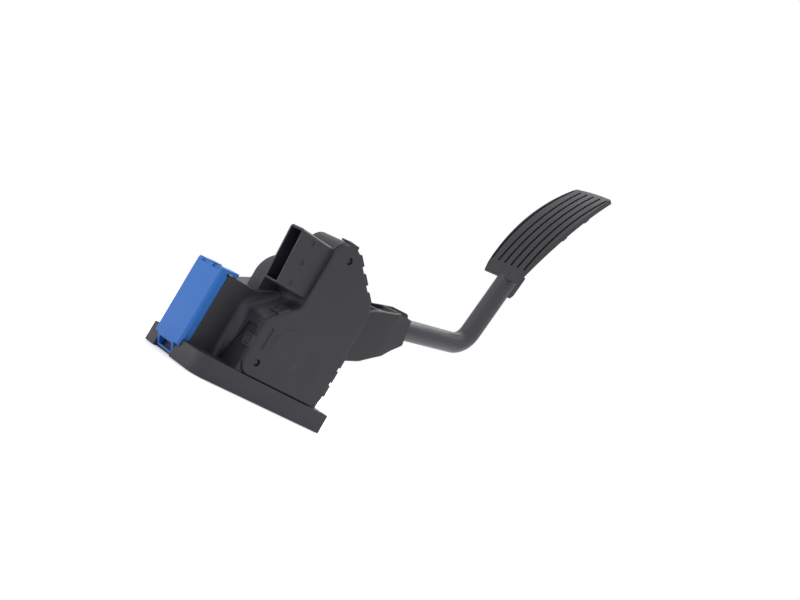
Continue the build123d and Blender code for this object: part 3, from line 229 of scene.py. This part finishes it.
@dataclass(frozen=True)
class Coated:
    """Steel under a thin stoved coat: satin, with the slight orange peel that a coat dries with."""

    name: str
    colour: str
    roughness: float = 0.42
    gloss_swing: float = 0.06
    peel_mm: float = 1.6
    peel_depth_mm: float = 0.02
    peel_strength: float = 0.5
    cloud_mm: float = 22.0
    cloud: float = 0.12

    def material(self) -> bpy.types.Material:
        """Builds the finish: slightly cloudy colour, orange peel in the bump, uneven gloss.

        Returns:
            The new material.
        """
        material, tree = new_material(self.name)
        place = add_node(tree, "ShaderNodeTexCoord").outputs["Object"]
        peel = add_node(tree, "ShaderNodeTexNoise", {
            "Vector": place, "Scale": per_mm(self.peel_mm), "Detail": 2.0, "Roughness": 0.55})
        cloud = add_node(tree, "ShaderNodeTexNoise", {
            "Vector": place, "Scale": per_mm(self.cloud_mm), "Detail": 3.0, "Roughness": 0.6})
        colour = add_node(tree, "ShaderNodeMix", {
            MIX_SHARE: cloud.outputs["Fac"], MIX_FIRST: shade(self.colour, 1 - self.cloud),
            MIX_SECOND: shade(self.colour, 1 + self.cloud)}, data_type="RGBA")
        gloss = add_node(tree, "ShaderNodeMapRange", {
            "Value": cloud.outputs["Fac"], "From Min": NOISE_LOW, "From Max": NOISE_HIGH,
            "To Min": self.roughness - self.gloss_swing, "To Max": self.roughness + self.gloss_swing})
        bump = add_node(tree, "ShaderNodeBump", {
            "Strength": self.peel_strength, "Distance": self.peel_depth_mm * MM,
            "Height": peel.outputs["Fac"]})
        shader = add_node(tree, "ShaderNodeBsdfPrincipled", {
            "Base Color": colour.outputs[MIX_COLOUR], "Roughness": gloss.outputs[0], "IOR": PLASTIC_IOR,
            "Normal": bump.outputs[0]})
        add_node(tree, "ShaderNodeOutputMaterial", {"Surface": shader.outputs[0]})
        return material


@dataclass(frozen=True)
class Metal:
    """Bare or plated metal, with turned rings or drawn lines and a little staining."""

    name: str
    colour: str
    stain: str
    roughness: float = 0.35
    lay: Lay = Lay.EVEN
    mark_mm: float = 0.35
    mark_depth_mm: float = 0.004
    mark_strength: float = 0.4
    smoother: float = 0.08
    rougher: float = 0.1
    stain_mm: float = 5.0
    stain_share: float = 0.5

    def material(self) -> bpy.types.Material:
        """Builds the finish: stained colour, tool marks in bump and gloss.

        Returns:
            The new material.
        """
        material, tree = new_material(self.name)
        place = add_node(tree, "ShaderNodeTexCoord").outputs["Object"]
        along = add_node(tree, "ShaderNodeMapping", {"Vector": place, "Scale": MARK_STRETCH[self.lay]})
        marks = add_node(tree, "ShaderNodeTexNoise", {
            "Vector": along.outputs[0], "Scale": per_mm(self.mark_mm), "Detail": 2.0, "Roughness": 0.6})
        stains = add_node(tree, "ShaderNodeTexNoise", {
            "Vector": place, "Scale": per_mm(self.stain_mm), "Detail": 4.0, "Roughness": 0.65})
        spread = add_node(tree, "ShaderNodeMapRange", {
            "Value": stains.outputs["Fac"], "From Min": PATCH_LOW, "From Max": PATCH_HIGH,
            "To Min": 0.0, "To Max": self.stain_share})
        colour = add_node(tree, "ShaderNodeMix", {
            MIX_SHARE: spread.outputs[0], MIX_FIRST: linear(self.colour), MIX_SECOND: linear(self.stain)},
            data_type="RGBA")
        gloss = add_node(tree, "ShaderNodeMapRange", {
            "Value": marks.outputs["Fac"], "From Min": NOISE_LOW, "From Max": NOISE_HIGH,
            "To Min": self.roughness - self.smoother, "To Max": self.roughness + self.rougher})
        bump = add_node(tree, "ShaderNodeBump", {
            "Strength": self.mark_strength, "Distance": self.mark_depth_mm * MM,
            "Height": marks.outputs["Fac"]})
        shader = add_node(tree, "ShaderNodeBsdfPrincipled", {
            "Base Color": colour.outputs[MIX_COLOUR], "Metallic": 1.0, "Roughness": gloss.outputs[0],
            "Normal": bump.outputs[0]})
        add_node(tree, "ShaderNodeOutputMaterial", {"Surface": shader.outputs[0]})
        return material


@dataclass(frozen=True)
class Speckled:
    """Dull body with fine specks, such as moulded rubber, ferrite, epoxy or solder resist."""

    name: str
    colour: str
    speck: str
    roughness: float = 0.7
    speck_mm: float = 0.5
    speck_depth_mm: float = 0.012
    speck_strength: float = 0.5
    share: float = 0.3

    def material(self) -> bpy.types.Material:
        """Builds the finish: specks in the colour and a fine tooth in the bump.

        Returns:
            The new material.
        """
        material, tree = new_material(self.name)
        place = add_node(tree, "ShaderNodeTexCoord").outputs["Object"]
        specks = add_node(tree, "ShaderNodeTexNoise", {
            "Vector": place, "Scale": per_mm(self.speck_mm), "Detail": 4.0, "Roughness": 0.7})
        spread = add_node(tree, "ShaderNodeMapRange", {
            "Value": specks.outputs["Fac"], "From Min": PATCH_LOW, "From Max": PATCH_HIGH,
            "To Min": 0.0, "To Max": self.share})
        colour = add_node(tree, "ShaderNodeMix", {
            MIX_SHARE: spread.outputs[0], MIX_FIRST: linear(self.colour), MIX_SECOND: linear(self.speck)},
            data_type="RGBA")
        bump = add_node(tree, "ShaderNodeBump", {
            "Strength": self.speck_strength, "Distance": self.speck_depth_mm * MM,
            "Height": specks.outputs["Fac"]})
        shader = add_node(tree, "ShaderNodeBsdfPrincipled", {
            "Base Color": colour.outputs[MIX_COLOUR], "Roughness": self.roughness, "IOR": PLASTIC_IOR,
            "Normal": bump.outputs[0]})
        add_node(tree, "ShaderNodeOutputMaterial", {"Surface": shader.outputs[0]})
        return material


Finish = Moulded | Coated | Metal | Speckled

# Glass-filled nylon from a spark-eroded mould: an even satin black with a faint violet cast and a fine tooth.
HOUSING_NYLON = Moulded("housing_nylon_spark_textured", "#282730", "#4C4B54")
# The same nylon in a flat lid: the broad face shows soft clouds of gloss, and the rim is painted a little
# paler as a highlight.
COVER_NYLON = Moulded("cover_nylon_spark_textured", "#25242C", "#4C4B54", roughness=0.52)
# Nylon from a polished mould, loaded with more glass: a touch smoother, with cloudy flow marks.
HUB_NYLON = Moulded("hub_nylon_moulded", "#1C1B22", "#4C4B54", roughness=0.48, cloud=0.14)
# Nylon under shoe soles: dull and coarse-grained, with a painted highlight on the corners along the ribs.
PAD_NYLON = Moulded("pad_nylon_coarse_grained", "#29282F", "#48474F", roughness=0.58, grain_mm=0.7)
# Acetal from a polished mould: a clean even blue with a waxy shine and rims painted paler as a highlight.
CLIP_ACETAL = Moulded("clip_acetal_moulded", "#1A71CC", "#5A92D8", roughness=0.42, grain_mm=0.8,
                      grain_depth_mm=0.006, cloud=0.05, edge_highlight_share=0.3)
# Undyed acetal: milky off-white with a waxy shine.
ROTOR_ACETAL = Moulded("rotor_acetal_moulded", "#BBB9AE", "#D6D4CB", roughness=0.42, cloud=0.04)
# Steel tube under a stoved powder coat: a soft charcoal shine, broken by slight orange peel.
ROD_COAT = Coated("rod_steel_powder_coated", "#3B3A41")
# Steel from the lathe: bright, with fine rings round its axis.
SHAFT_STEEL = Metal("shaft_steel_turned", "#B9BABD", "#8E8A83", 0.28, Lay.TURNED)
# Steel tube with a zinc plate: pale grey, with the uneven bloom that the bath leaves.
SLEEVE_STEEL = Metal("sleeve_steel_zinc_plated", "#C2C3BE", "#9C9A90", 0.38, Lay.EVEN, 0.8)
# Oil-tempered wire: a dark grey shine with brownish patches.
SPRING_STEEL = Metal("spring_steel_oil_tempered", "#85868A", "#5C5A58", 0.34, Lay.EVEN)
# Stamped brass under tin: a bright, slightly milky silver with lines along each pin.
PIN_TIN = Metal("pin_brass_tin_plated", "#CFCDC6", "#A9A79E", 0.25, Lay.DRAWN)
# Pressed and sintered bronze: dull brown gold, open-grained and stained with oil.
BUSH_BRONZE = Metal("bush_bronze_sintered", "#A98552", "#6E5735", 0.5, Lay.EVEN, 0.4)
# Pressed ferrite: a grey black with pale specks, like fine stone.
MAGNET_FERRITE = Speckled("magnet_ferrite_pressed", "#35363A", "#58595E", 0.55)
# Solder resist printed on a glass and epoxy board: a glossy green with a faint mottle of specks.
BOARD_RESIST = Speckled("board_epoxy_solder_resist", "#1D5A36", "#2B7347", 0.35, 1.2)
# Epoxy chip bodies: matt black with a fine grey tooth.
CHIP_EPOXY = Speckled("chip_epoxy_moulded", "#1B1B1D", "#333336", 0.6, 0.2)
# Rubber buffers: dead matt black, with a bloom of pale specks.
STOP_RUBBER = Speckled("stop_rubber_moulded", "#1E1E1F", "#333334", 0.8, 0.4)


@cache
def surface(finish: Finish) -> bpy.types.Material:
    """Material of a finish, built the first time that it is asked for."""
    return finish.material()


def new_piece(name: str, mesh: bpy.types.Mesh) -> bpy.types.Object:
    """Puts a mesh into the scene as an object at the origin.

    Args:
        name: Name of the object.
        mesh: Mesh in its final place.

    Returns:
        The new object.
    """
    piece = bpy.data.objects.new(name, mesh)
    bpy.context.scene.collection.objects.link(piece)
    return piece


def welded_copy(node: bpy.types.Object, name: str) -> tuple[bpy.types.Mesh, bmesh.types.BMesh]:
    """Copies a solid of the frame and joins its loose triangles.

    Args:
        node: Solid of the frame, which stays as it is.
        name: Name of the copy.

    Returns:
        The copied mesh and its joined, smooth-shaded shape, still to be written to it.
    """
    mesh = node.data.copy()
    mesh.name = name
    mesh.materials.clear()
    shape = bmesh.new()
    shape.from_mesh(mesh)
    bmesh.ops.remove_doubles(shape, verts=shape.verts, dist=WELD_MM * MM)
    for face in shape.faces:
        face.smooth = True
    return mesh, shape


@dataclass
class Rounding:
    """Small rounding that a moulded edge gets, and the edges it is kept to."""

    width_mm: float = 0.35
    segments: int = 2
    angle_deg: float = 40.0
    shortest_mm: float = 2.5
    flat_deg: float = 0.6
    sharp_deg: float = 32.0
    room: float = 2.6

    def dress(self, node: bpy.types.Object, name: str) -> bpy.types.Object:
        """Makes a rounded, smooth-shaded piece from a plain solid of the frame.

        Args:
            node: Solid of the frame, which stays as it is.
            name: Name of the new piece.

        Returns:
            The new piece, at the origin.
        """
        mesh, shape = welded_copy(node, name)
        bmesh.ops.dissolve_limit(shape, angle_limit=math.radians(self.flat_deg), verts=shape.verts,
                                 edges=shape.edges)
        layer = shape.edges.layers.float.new("bevel_weight_edge")
        limit = math.radians(self.angle_deg)
        for edge in shape.edges:
            if len(edge.link_faces) == 2 and edge.calc_face_angle(0.0) > limit:
                edge[layer] = 1.0 if self.fits(edge) else 0.0
        shape.to_mesh(mesh)
        shape.free()
        mesh.set_sharp_from_angle(angle=math.radians(self.sharp_deg))
        piece = new_piece(name, mesh)
        bevel = piece.modifiers.new("edge_rounding", "BEVEL")
        bevel.limit_method = "WEIGHT"
        bevel.width = self.width_mm * MM
        bevel.segments = self.segments
        bevel.use_clamp_overlap = False
        bevel.miter_outer = "MITER_ARC"
        normals = piece.modifiers.new("flat_face_normals", "WEIGHTED_NORMAL")
        normals.keep_sharp = True
        return piece

    def fits(self, edge: bmesh.types.BMEdge) -> bool:
        """Tells whether an edge and the faces beside it have room for the rounding.

        Args:
            edge: Edge between two faces.

        Returns:
            True where the rounding fits.
        """
        if edge.calc_length() < self.shortest_mm * MM:
            return False
        for face in edge.link_faces:
            longest = max(e.calc_length() for e in face.edges)
            if face.calc_area() / longest < self.room * self.width_mm * MM:
                return False
        return True


@dataclass
class BowedTread:
    """Cylinder along Y that the pad's ribs lie on, from the pad's sizes in millimetres, seen along Y."""

    foot: tuple[float, float] = (167.6, 174.8)
    chord: float = 106.6
    lean_deg: float = 27.5
    bow: float = 7.0
    slack: float = 0.05

    @property
    def radius(self) -> float:
        """Radius of the cylinder, from the chord of the bow and its height."""
        return self.chord ** 2 / (8 * self.bow) + self.bow / 2

    @property
    def centre(self) -> tuple[float, float]:
        """Place of the cylinder's axis, behind the middle of the leaning chord.

        Returns:
            Its X and Z.
        """
        lean = math.radians(self.lean_deg)
        along, behind = self.chord / 2, self.radius - self.bow
        x = self.foot[0] + along * math.sin(lean) + behind * math.cos(lean)
        z = self.foot[1] + along * math.cos(lean) - behind * math.sin(lean)
        return x, z

    def outward(self, point: Vector) -> Vector:
        """Way from the cylinder's axis to a point, square to the axis."""
        x, z = self.centre
        return Vector((point.x - x * MM, 0.0, point.z - z * MM))

    def follows(self, points: list[Vector]) -> bool:
        """Whether points keep one distance from the axis, as the corners of a rib's face do."""
        reach = [self.outward(p).length for p in points]
        return max(reach) - min(reach) < self.slack * MM

    def unrolled(self, point: Vector) -> Vector:
        """Place of a point on the cylinder when that is rolled out flat."""
        out = self.outward(point)
        return Vector((self.radius * MM * math.atan2(out.z, -out.x), point.y, 0.0))

    def turn_triangles(self, shape: bmesh.types.BMesh) -> None:
        """Turns the edges inside each bowed face to run across it, so that no triangle cuts into the bow.

        Args:
            shape: Joined shape of the pad, which is changed in place.
        """
        bowed = {face for face in shape.faces if self.follows([v.co for v in face.verts])}
        inner = [edge for edge in shape.edges
                 if len(edge.link_faces) == 2 and bowed.issuperset(edge.link_faces)]
        places = {vert: vert.co.copy() for face in bowed for vert in face.verts}
        for vert, place in places.items():
            vert.co = self.unrolled(place)
        bmesh.ops.beautify_fill(shape, faces=list(bowed), edges=inner, method="AREA")
        for vert, place in places.items():
            vert.co = place

    def dress(self, node: bpy.types.Object, name: str) -> bpy.types.Object:
        """Makes a piece from a bowed solid of the frame, with the bow's own normals.

        Args:
            node: Solid of the frame, which stays as it is.
            name: Name of the new piece.

        Returns:
            The new piece, at the origin.
        """
        mesh, shape = welded_copy(node, name)
        self.turn_triangles(shape)
        shape.to_mesh(mesh)
        shape.free()
        normals = []
        for face in mesh.polygons:
            points = [mesh.vertices[index].co for index in face.vertices]
            if self.follows(points):
                side = math.copysign(1.0, self.outward(face.center).dot(face.normal))
                normals += [side * self.outward(point).normalized() for point in points]
            else:
                normals += [face.normal.copy()] * len(points)
        mesh.normals_split_custom_set(normals)
        return new_piece(name, mesh)


def finish_piece(piece: bpy.types.Object, finish: Finish, body: Body, nodes: list[str]) -> None:
    """Gives a piece its finish and its body, and hides the solids that it replaces.

    Args:
        piece: Piece with its final mesh.
        finish: Finish of its whole surface.
        body: Body that the piece rides on.
        nodes: Solids of the frame that it replaces.
    """
    piece.data.materials.clear()
    piece.data.materials.append(surface(finish))
    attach(piece, body.value)
    if nodes:
        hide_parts(*nodes)
    LOG.info("%s rides on %s", piece.name, body.value)


def paint_node(name: str, finish: Finish) -> None:
    """Gives a solid of the frame its finish, with its shape as it is.

    Args:
        name: Name of the solid.
        finish: Finish of its whole surface.
    """
    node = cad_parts[name]
    node.data.materials.clear()
    node.data.materials.append(surface(finish))
    LOG.info("%s keeps its solid", name)


def grown_mesh(seed: bpy.types.Mesh, tree: Tree, values: dict[str, Any], name: str) -> bpy.types.Object:
    """Runs a node tree on a seed mesh and keeps the result as a plain mesh.

    Args:
        seed: Mesh that the tree starts from.
        tree: Geometry tree with named inputs.
        values: Value of each named input.
        name: Name of the new piece.

    Returns:
        A plain mesh object at the origin.
    """
    source = new_piece(name + "_seed", seed)
    modifier = source.modifiers.new("grow", "NODES")
    modifier.node_group = tree
    for item in tree.interface.items_tree:
        if item.item_type == "SOCKET" and item.in_out == "INPUT" and item.name in values:
            modifier[item.identifier] = values[item.name]
    bpy.context.view_layer.update()
    shown = source.evaluated_get(bpy.context.evaluated_depsgraph_get())
    mesh = bpy.data.meshes.new_from_object(shown)
    source.modifiers.remove(modifier)
    bpy.data.objects.remove(source)
    mesh.name = name
    return new_piece(name, mesh)


def new_geometry_tree(name: str, inputs: dict[str, str]) -> tuple[Tree, bpy.types.Node]:
    """Makes a geometry tree with its inputs.

    Args:
        name: Name of the tree.
        inputs: Socket type of each named input.

    Returns:
        The tree and its group input node.
    """
    tree = bpy.data.node_groups.new(name, "GeometryNodeTree")
    tree.interface.new_socket("Geometry", in_out="INPUT", socket_type="NodeSocketGeometry")
    tree.interface.new_socket("Geometry", in_out="OUTPUT", socket_type="NodeSocketGeometry")
    for label, kind in inputs.items():
        tree.interface.new_socket(label, in_out="INPUT", socket_type=kind)
    return tree, add_node(tree, "NodeGroupInput")


def end_geometry_tree(tree: Tree, source: Socket, material: Socket) -> None:
    """Ends a geometry tree with smooth faces, real geometry and its material.

    Args:
        tree: Tree to end.
        source: Geometry that it has made.
        material: Material for all of it.
    """
    smooth = add_node(tree, "GeometryNodeSetShadeSmooth", {"Geometry": source})
    real = add_node(tree, "GeometryNodeRealizeInstances", {"Geometry": smooth.outputs[0]})
    dressed = add_node(tree, "GeometryNodeSetMaterial", {"Geometry": real.outputs[0], "Material": material})
    add_node(tree, "NodeGroupOutput", {"Geometry": dressed.outputs[0]})


def line_mesh(name: str, points: list[Vec3]) -> bpy.types.Mesh:
    """Makes a mesh of edges through points.

    Args:
        name: Name of the mesh.
        points: Points in millimetres, in order.

    Returns:
        The new mesh, in metres.
    """
    mesh = bpy.data.meshes.new(name)
    edges = [(i, i + 1) for i in range(len(points) - 1)]
    mesh.from_pydata([Vector(p) * MM for p in points], edges, [])
    return mesh


@dataclass
class SensorHousing:
    """Housing, side cover and lock clip."""

    edges: Rounding = field(default_factory=Rounding)
    clip_edges: Rounding = field(default_factory=lambda: Rounding(width_mm=0.4, segments=3))

    def build(self) -> None:
        """Rounds the three mouldings and gives them their finishes."""
        housing = self.edges.dress(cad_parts["housing"], "housing_moulding")
        finish_piece(housing, HOUSING_NYLON, Body.BASE, ["housing"])
        cover = self.edges.dress(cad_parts["side_cover"], "cover_moulding")
        finish_piece(cover, COVER_NYLON, Body.BASE, ["side_cover"])
        clip = self.clip_edges.dress(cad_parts["lock_clip"], "clip_moulding")
        finish_piece(clip, CLIP_ACETAL, Body.BASE, ["lock_clip"])


@dataclass
class EjectorMarks:
    """Round marks that the mould's ejector pins leave in the pockets of the underside."""

    radius: float = 2.6
    height: float = 0.15
    level: float = 10.5
    sides: int = 32
    sharp_deg: float = 30.0
    places: list[tuple[float, float]] = field(default_factory=lambda: [
        (-42.4, -23.1), (-15.0, -23.1), (13.0, -23.1), (-15.0, -7.7), (40.4, -7.7),
        (13.0, 23.1), (-15.0, 23.1), (40.4, 7.7), (3.4, 7.7)])

    def tree(self) -> Tree:
        """Builds the tree that sets one low disc on each point.

        Returns:
            The geometry tree.
        """
        tree, given = new_geometry_tree("ejector_marks", {
            "Radius": "NodeSocketFloat", "Height": "NodeSocketFloat", "Material": "NodeSocketMaterial"})
        disc = add_node(tree, "GeometryNodeMeshCylinder", {
            "Vertices": self.sides, "Radius": given.outputs["Radius"], "Depth": given.outputs["Height"]})
        points = add_node(tree, "GeometryNodeMeshToPoints", {"Mesh": given.outputs["Geometry"]})
        spread = add_node(tree, "GeometryNodeInstanceOnPoints", {
            "Points": points.outputs[0], "Instance": disc.outputs["Mesh"]})
        end_geometry_tree(tree, spread.outputs[0], given.outputs["Material"])
        return tree

    def build(self) -> None:
        """Makes the marks as one piece on the base."""
        seed = bpy.data.meshes.new("mark_places")
        level = self.level - self.height / 2
        seed.from_pydata([Vector((x, y, level)) * MM for x, y in self.places], [], [])
        values = {"Radius": self.radius * MM, "Height": self.height * MM, "Material": surface(HOUSING_NYLON)}
        marks = grown_mesh(seed, self.tree(), values, "ejector_marks")
        marks.data.set_sharp_from_angle(angle=math.radians(self.sharp_deg))
        finish_piece(marks, HOUSING_NYLON, Body.BASE, [])


@dataclass
class PedalArm:
    """Lever hub, bent rod and grooved pad."""

    radius: float = 8.0
    bend: float = 18.0
    rod_y: float = -5.5
    elbow: tuple[float, float] = (167.3, 106.1)
    slope_deg: float = 12.7
    lean_deg: float = 7.8
    tail_length: float = 96.0
    tip_length: float = 71.5
    bend_steps: int = 24
    sides: int = 64
    sharp_deg: float = 40.0
    edges: Rounding = field(default_factory=Rounding)
    tread: BowedTread = field(default_factory=BowedTread)

    def rod_points(self) -> list[Vec3]:
        """Works out the rod's middle line.

        Returns:
            Its tail, elbow and tip, in millimetres.
        """
        x, z = self.elbow
        slope, lean = math.radians(self.slope_deg), math.radians(self.lean_deg)
        tail = (x - self.tail_length * math.cos(slope), self.rod_y, z - self.tail_length * math.sin(slope))
        tip = (x + self.tip_length * math.sin(lean), self.rod_y, z + self.tip_length * math.cos(lean))
        return [tail, (x, self.rod_y, z), tip]

    def rod_tree(self) -> Tree:
        """Builds the tree that bends a round bar along a line with one corner.

        Returns:
            The geometry tree.
        """
        tree, given = new_geometry_tree("bent_rod", {
            "Radius": "NodeSocketFloat", "Bend": "NodeSocketFloat", "Material": "NodeSocketMaterial"})
        line = add_node(tree, "GeometryNodeMeshToCurve", {"Mesh": given.outputs["Geometry"]})
        bent = add_node(tree, "GeometryNodeFilletCurve", {
            "Curve": line.outputs[0], "Radius": given.outputs["Bend"], "Count": self.bend_steps}, mode="POLY")
        ring = add_node(tree, "GeometryNodeCurvePrimitiveCircle", {
            "Resolution": self.sides, "Radius": given.outputs["Radius"]})
        bar = add_node(tree, "GeometryNodeCurveToMesh", {
            "Curve": bent.outputs[0], "Profile Curve": ring.outputs[0], "Fill Caps": True})
        end_geometry_tree(tree, bar.outputs[0], given.outputs["Material"])
        return tree

    def build(self) -> None:
        """Makes the three pieces of the arm."""
        hub = self.edges.dress(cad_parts["pedal_hub"], "hub_moulding")
        finish_piece(hub, HUB_NYLON, Body.PEDAL, ["pedal_hub"])
        pad = self.tread.dress(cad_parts["pedal_pad"], "pad_moulding")
        finish_piece(pad, PAD_NYLON, Body.PEDAL, ["pedal_pad"])
        values = {"Radius": self.radius * MM, "Bend": self.bend * MM, "Material": surface(ROD_COAT)}
        rod = grown_mesh(line_mesh("rod_line", self.rod_points()), self.rod_tree(), values, "bent_rod")
        rod.data.set_sharp_from_angle(angle=math.radians(self.sharp_deg))
        finish_piece(rod, ROD_COAT, Body.PEDAL, ["pedal_rod"])


@dataclass(frozen=True)
class Coil:
    """One coil spring: its solid, its outer radius and wire radius in millimetres, and its turns."""

    node: str
    outer: float
    wire: float
    turns: float


@dataclass
class ReturnSprings:
    """Two nested coil springs, which shorten as the pedal is pressed."""

    axis: tuple[float, float] = (26.0, -5.5)
    seat: float = 4.0
    top: float = 33.5
    # Share of the length that is left at full travel, where the tilted cap comes down on the springs.
    pressed: float = 0.55
    turn_steps: int = 40
    wire_sides: int = 16
    sharp_deg: float = 50.0
    coils: tuple[Coil, ...] = (
        Coil("outer_return_spring", 9.0, 1.2, 5.5), Coil("inner_return_spring", 5.8, 0.8, 7.5))

    def tree(self) -> Tree:
        """Builds the tree that coils a wire up a cylinder.

        Returns:
            The geometry tree.
        """
        tree, given = new_geometry_tree("coil_spring", {
            "Coil radius": "NodeSocketFloat", "Wire radius": "NodeSocketFloat", "Turns": "NodeSocketFloat",
            "Rise": "NodeSocketFloat", "Foot": "NodeSocketVector", "Material": "NodeSocketMaterial"})
        coil = add_node(tree, "GeometryNodeCurveSpiral", {
            "Resolution": self.turn_steps, "Rotations": given.outputs["Turns"],
            "Start Radius": given.outputs["Coil radius"], "End Radius": given.outputs["Coil radius"],
            "Height": given.outputs["Rise"]})
        wire = add_node(tree, "GeometryNodeCurvePrimitiveCircle", {
            "Resolution": self.wire_sides, "Radius": given.outputs["Wire radius"]})
        spring = add_node(tree, "GeometryNodeCurveToMesh", {
            "Curve": coil.outputs[0], "Profile Curve": wire.outputs[0], "Fill Caps": True})
        placed = add_node(tree, "GeometryNodeTransform", {
            "Geometry": spring.outputs[0], "Translation": given.outputs["Foot"]})
        end_geometry_tree(tree, placed.outputs[0], given.outputs["Material"])
        return tree

    def build(self) -> None:
        """Makes both springs on the base."""
        tree = self.tree()
        for coil in self.coils:
            values = {
                "Coil radius": (coil.outer - coil.wire) * MM, "Wire radius": coil.wire * MM,
                "Turns": coil.turns,
                "Rise": (self.top - self.seat - 2 * coil.wire) * MM,
                "Foot": Vector((self.axis[0], self.axis[1], self.seat + coil.wire)) * MM,
                "Material": surface(SPRING_STEEL)}
            seed = line_mesh("spring_seed", [(0, 0, 0), (0, 0, 1)])
            spring = grown_mesh(seed, tree, values, coil.node + "_coil")
            spring.data.set_sharp_from_angle(angle=math.radians(self.sharp_deg))
            finish_piece(spring, SPRING_STEEL, Body.BASE, [coil.node])
            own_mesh(spring)


@dataclass
class InnerWorks:
    """Pivot, sensor, stops and sleeves, which keep their solids."""

    finishes: dict[str, Finish] = field(default_factory=lambda: {
        "pivot_shaft": SHAFT_STEEL, "shaft_ring": SPRING_STEEL, "near_bush": BUSH_BRONZE,
        "far_bush": BUSH_BRONZE,
        "sensor_rotor": ROTOR_ACETAL, "rotor_magnet": MAGNET_FERRITE, "sensor_board": BOARD_RESIST,
        "sensor_chips": CHIP_EPOXY, "contact_pins": PIN_TIN, "mounting_sleeves": SLEEVE_STEEL,
        "spring_cap": ROTOR_ACETAL, "idle_buffer": STOP_RUBBER, "full_travel_buffer": STOP_RUBBER})

    def build(self) -> None:
        """Gives each inner piece its finish."""
        for node, finish in self.finishes.items():
            paint_node(node, finish)


def looked_at(tree: Tree) -> Socket:
    """Adds nodes that tell whether the camera, a reflection or a clear piece sees a surface.

    Args:
        tree: Tree that gets the nodes.

    Returns:
        One where it is seen so, and zero for the light that it sheds.
    """
    path = add_node(tree, "ShaderNodeLightPath")
    seen = add_node(tree, "ShaderNodeMath",
                    {0: path.outputs["Is Camera Ray"], 1: path.outputs["Is Glossy Ray"]},
                    operation="MAXIMUM")
    return add_node(tree, "ShaderNodeMath", {0: seen.outputs[0], 1: path.outputs["Is Transmission Ray"]},
                    operation="MAXIMUM").outputs[0]


@dataclass(frozen=True)
class Softbox:
    """Square lamp that faces the part: where it hangs and its side in metres, and its power in watts."""

    name: str
    place: Vec3
    size: float
    watts: float


@dataclass
class Studio:
    """Camera of the photograph, pale floor and soft lights, in metres."""

    eye: Vec3 = (-0.420784, -0.535966, 0.060184)
    right: Vec3 = (0.60203, -0.62135, 0.50147)
    up: Vec3 = (-0.40266, 0.30608, 0.86266)
    lens_mm: float = 45.945
    sensor_mm: float = 36.0
    floor_half: float = 6.0
    floor_drop: float = 0.0005
    floor_colour: str = "#F4F4F4"
    # With the light of the surround on it, the open floor then comes out just white to the camera.
    floor_glow: float = 0.56
    ambient: float = 0.5
    target: Vec3 = (0.05, 0.0, 0.09)
    lamps: tuple[Softbox, ...] = (
        Softbox("top_softbox", (0.5, 0.15, 1.1), 0.9, 10.0),
        Softbox("left_softbox", (-1.0, 0.35, 0.2), 0.9, 2.5))

    def camera(self) -> None:
        """Sets the camera where the photograph was taken."""
        data = bpy.data.cameras.new("photo_camera")
        data.lens = self.lens_mm
        data.sensor_width = self.sensor_mm
        camera = bpy.data.objects.new("photo_camera", data)
        right = Vector(self.right).normalized()
        back = right.cross(Vector(self.up)).normalized()
        turn = Matrix((right, back.cross(right), back)).transposed().to_4x4()
        camera.matrix_world = Matrix.Translation(self.eye) @ turn
        bpy.context.scene.collection.objects.link(camera)
        bpy.context.scene.camera = camera

    def floor(self) -> None:
        """Lays a white floor that still takes the part's shadow."""
        mesh = bpy.data.meshes.new("floor")
        h, z = self.floor_half, -self.floor_drop
        mesh.from_pydata([(-h, -h, z), (h, -h, z), (h, h, z), (-h, h, z)], [], [(0, 1, 2, 3)])
        material, tree = new_material("floor_white")
        strength = add_node(tree, "ShaderNodeMath", {0: looked_at(tree), 1: self.floor_glow},
                            operation="MULTIPLY")
        paint = add_node(tree, "ShaderNodeBsdfDiffuse", {"Color": linear(self.floor_colour)})
        glow = add_node(tree, "ShaderNodeEmission", {"Color": linear(WHITE), "Strength": strength.outputs[0]})
        pale = add_node(tree, "ShaderNodeAddShader", {0: glow.outputs[0], 1: paint.outputs[0]})
        add_node(tree, "ShaderNodeOutputMaterial", {"Surface": pale.outputs[0]})
        mesh.materials.append(material)
        new_piece("floor", mesh)

    def world(self) -> None:
        """Makes a white surround for the camera and a plain soft light for the part."""
        world = bpy.data.worlds.new("studio")
        world.use_nodes = True
        tree = world.node_tree
        tree.nodes.clear()
        strength = add_node(tree, "ShaderNodeMapRange", {
            "Value": looked_at(tree), "To Min": self.ambient, "To Max": 1.0})
        back = add_node(tree, "ShaderNodeBackground", {
            "Color": linear(WHITE), "Strength": strength.outputs[0]})
        add_node(tree, "ShaderNodeOutputWorld", {"Surface": back.outputs[0]})
        bpy.context.scene.world = world

    def hang(self, box: Softbox) -> None:
        """Hangs one softbox and turns it to the part.

        Args:
            box: Lamp to hang.
        """
        data = bpy.data.lights.new(box.name, "AREA")
        data.size = box.size
        data.energy = box.watts
        lamp = bpy.data.objects.new(box.name, data)
        aim = Vector(self.target) - Vector(box.place)
        lamp.matrix_world = Matrix.Translation(box.place) @ aim.to_track_quat("-Z", "Y").to_matrix().to_4x4()
        bpy.context.scene.collection.objects.link(lamp)

    def build(self) -> None:
        """Sets up the whole studio."""
        bpy.context.scene.view_settings.view_transform = "Standard"
        self.camera()
        self.floor()
        self.world()
        for box in self.lamps:
            self.hang(box)


def main() -> None:
    """Builds the studio and every part of the pedal."""
    logging.basicConfig(level=logging.INFO, format="%(name)s: %(message)s")
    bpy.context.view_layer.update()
    Studio().build()
    SensorHousing().build()
    EjectorMarks().build()
    PedalArm().build()
    ReturnSprings().build()
    InnerWorks().build()


if __name__ == "__main__":
    main()
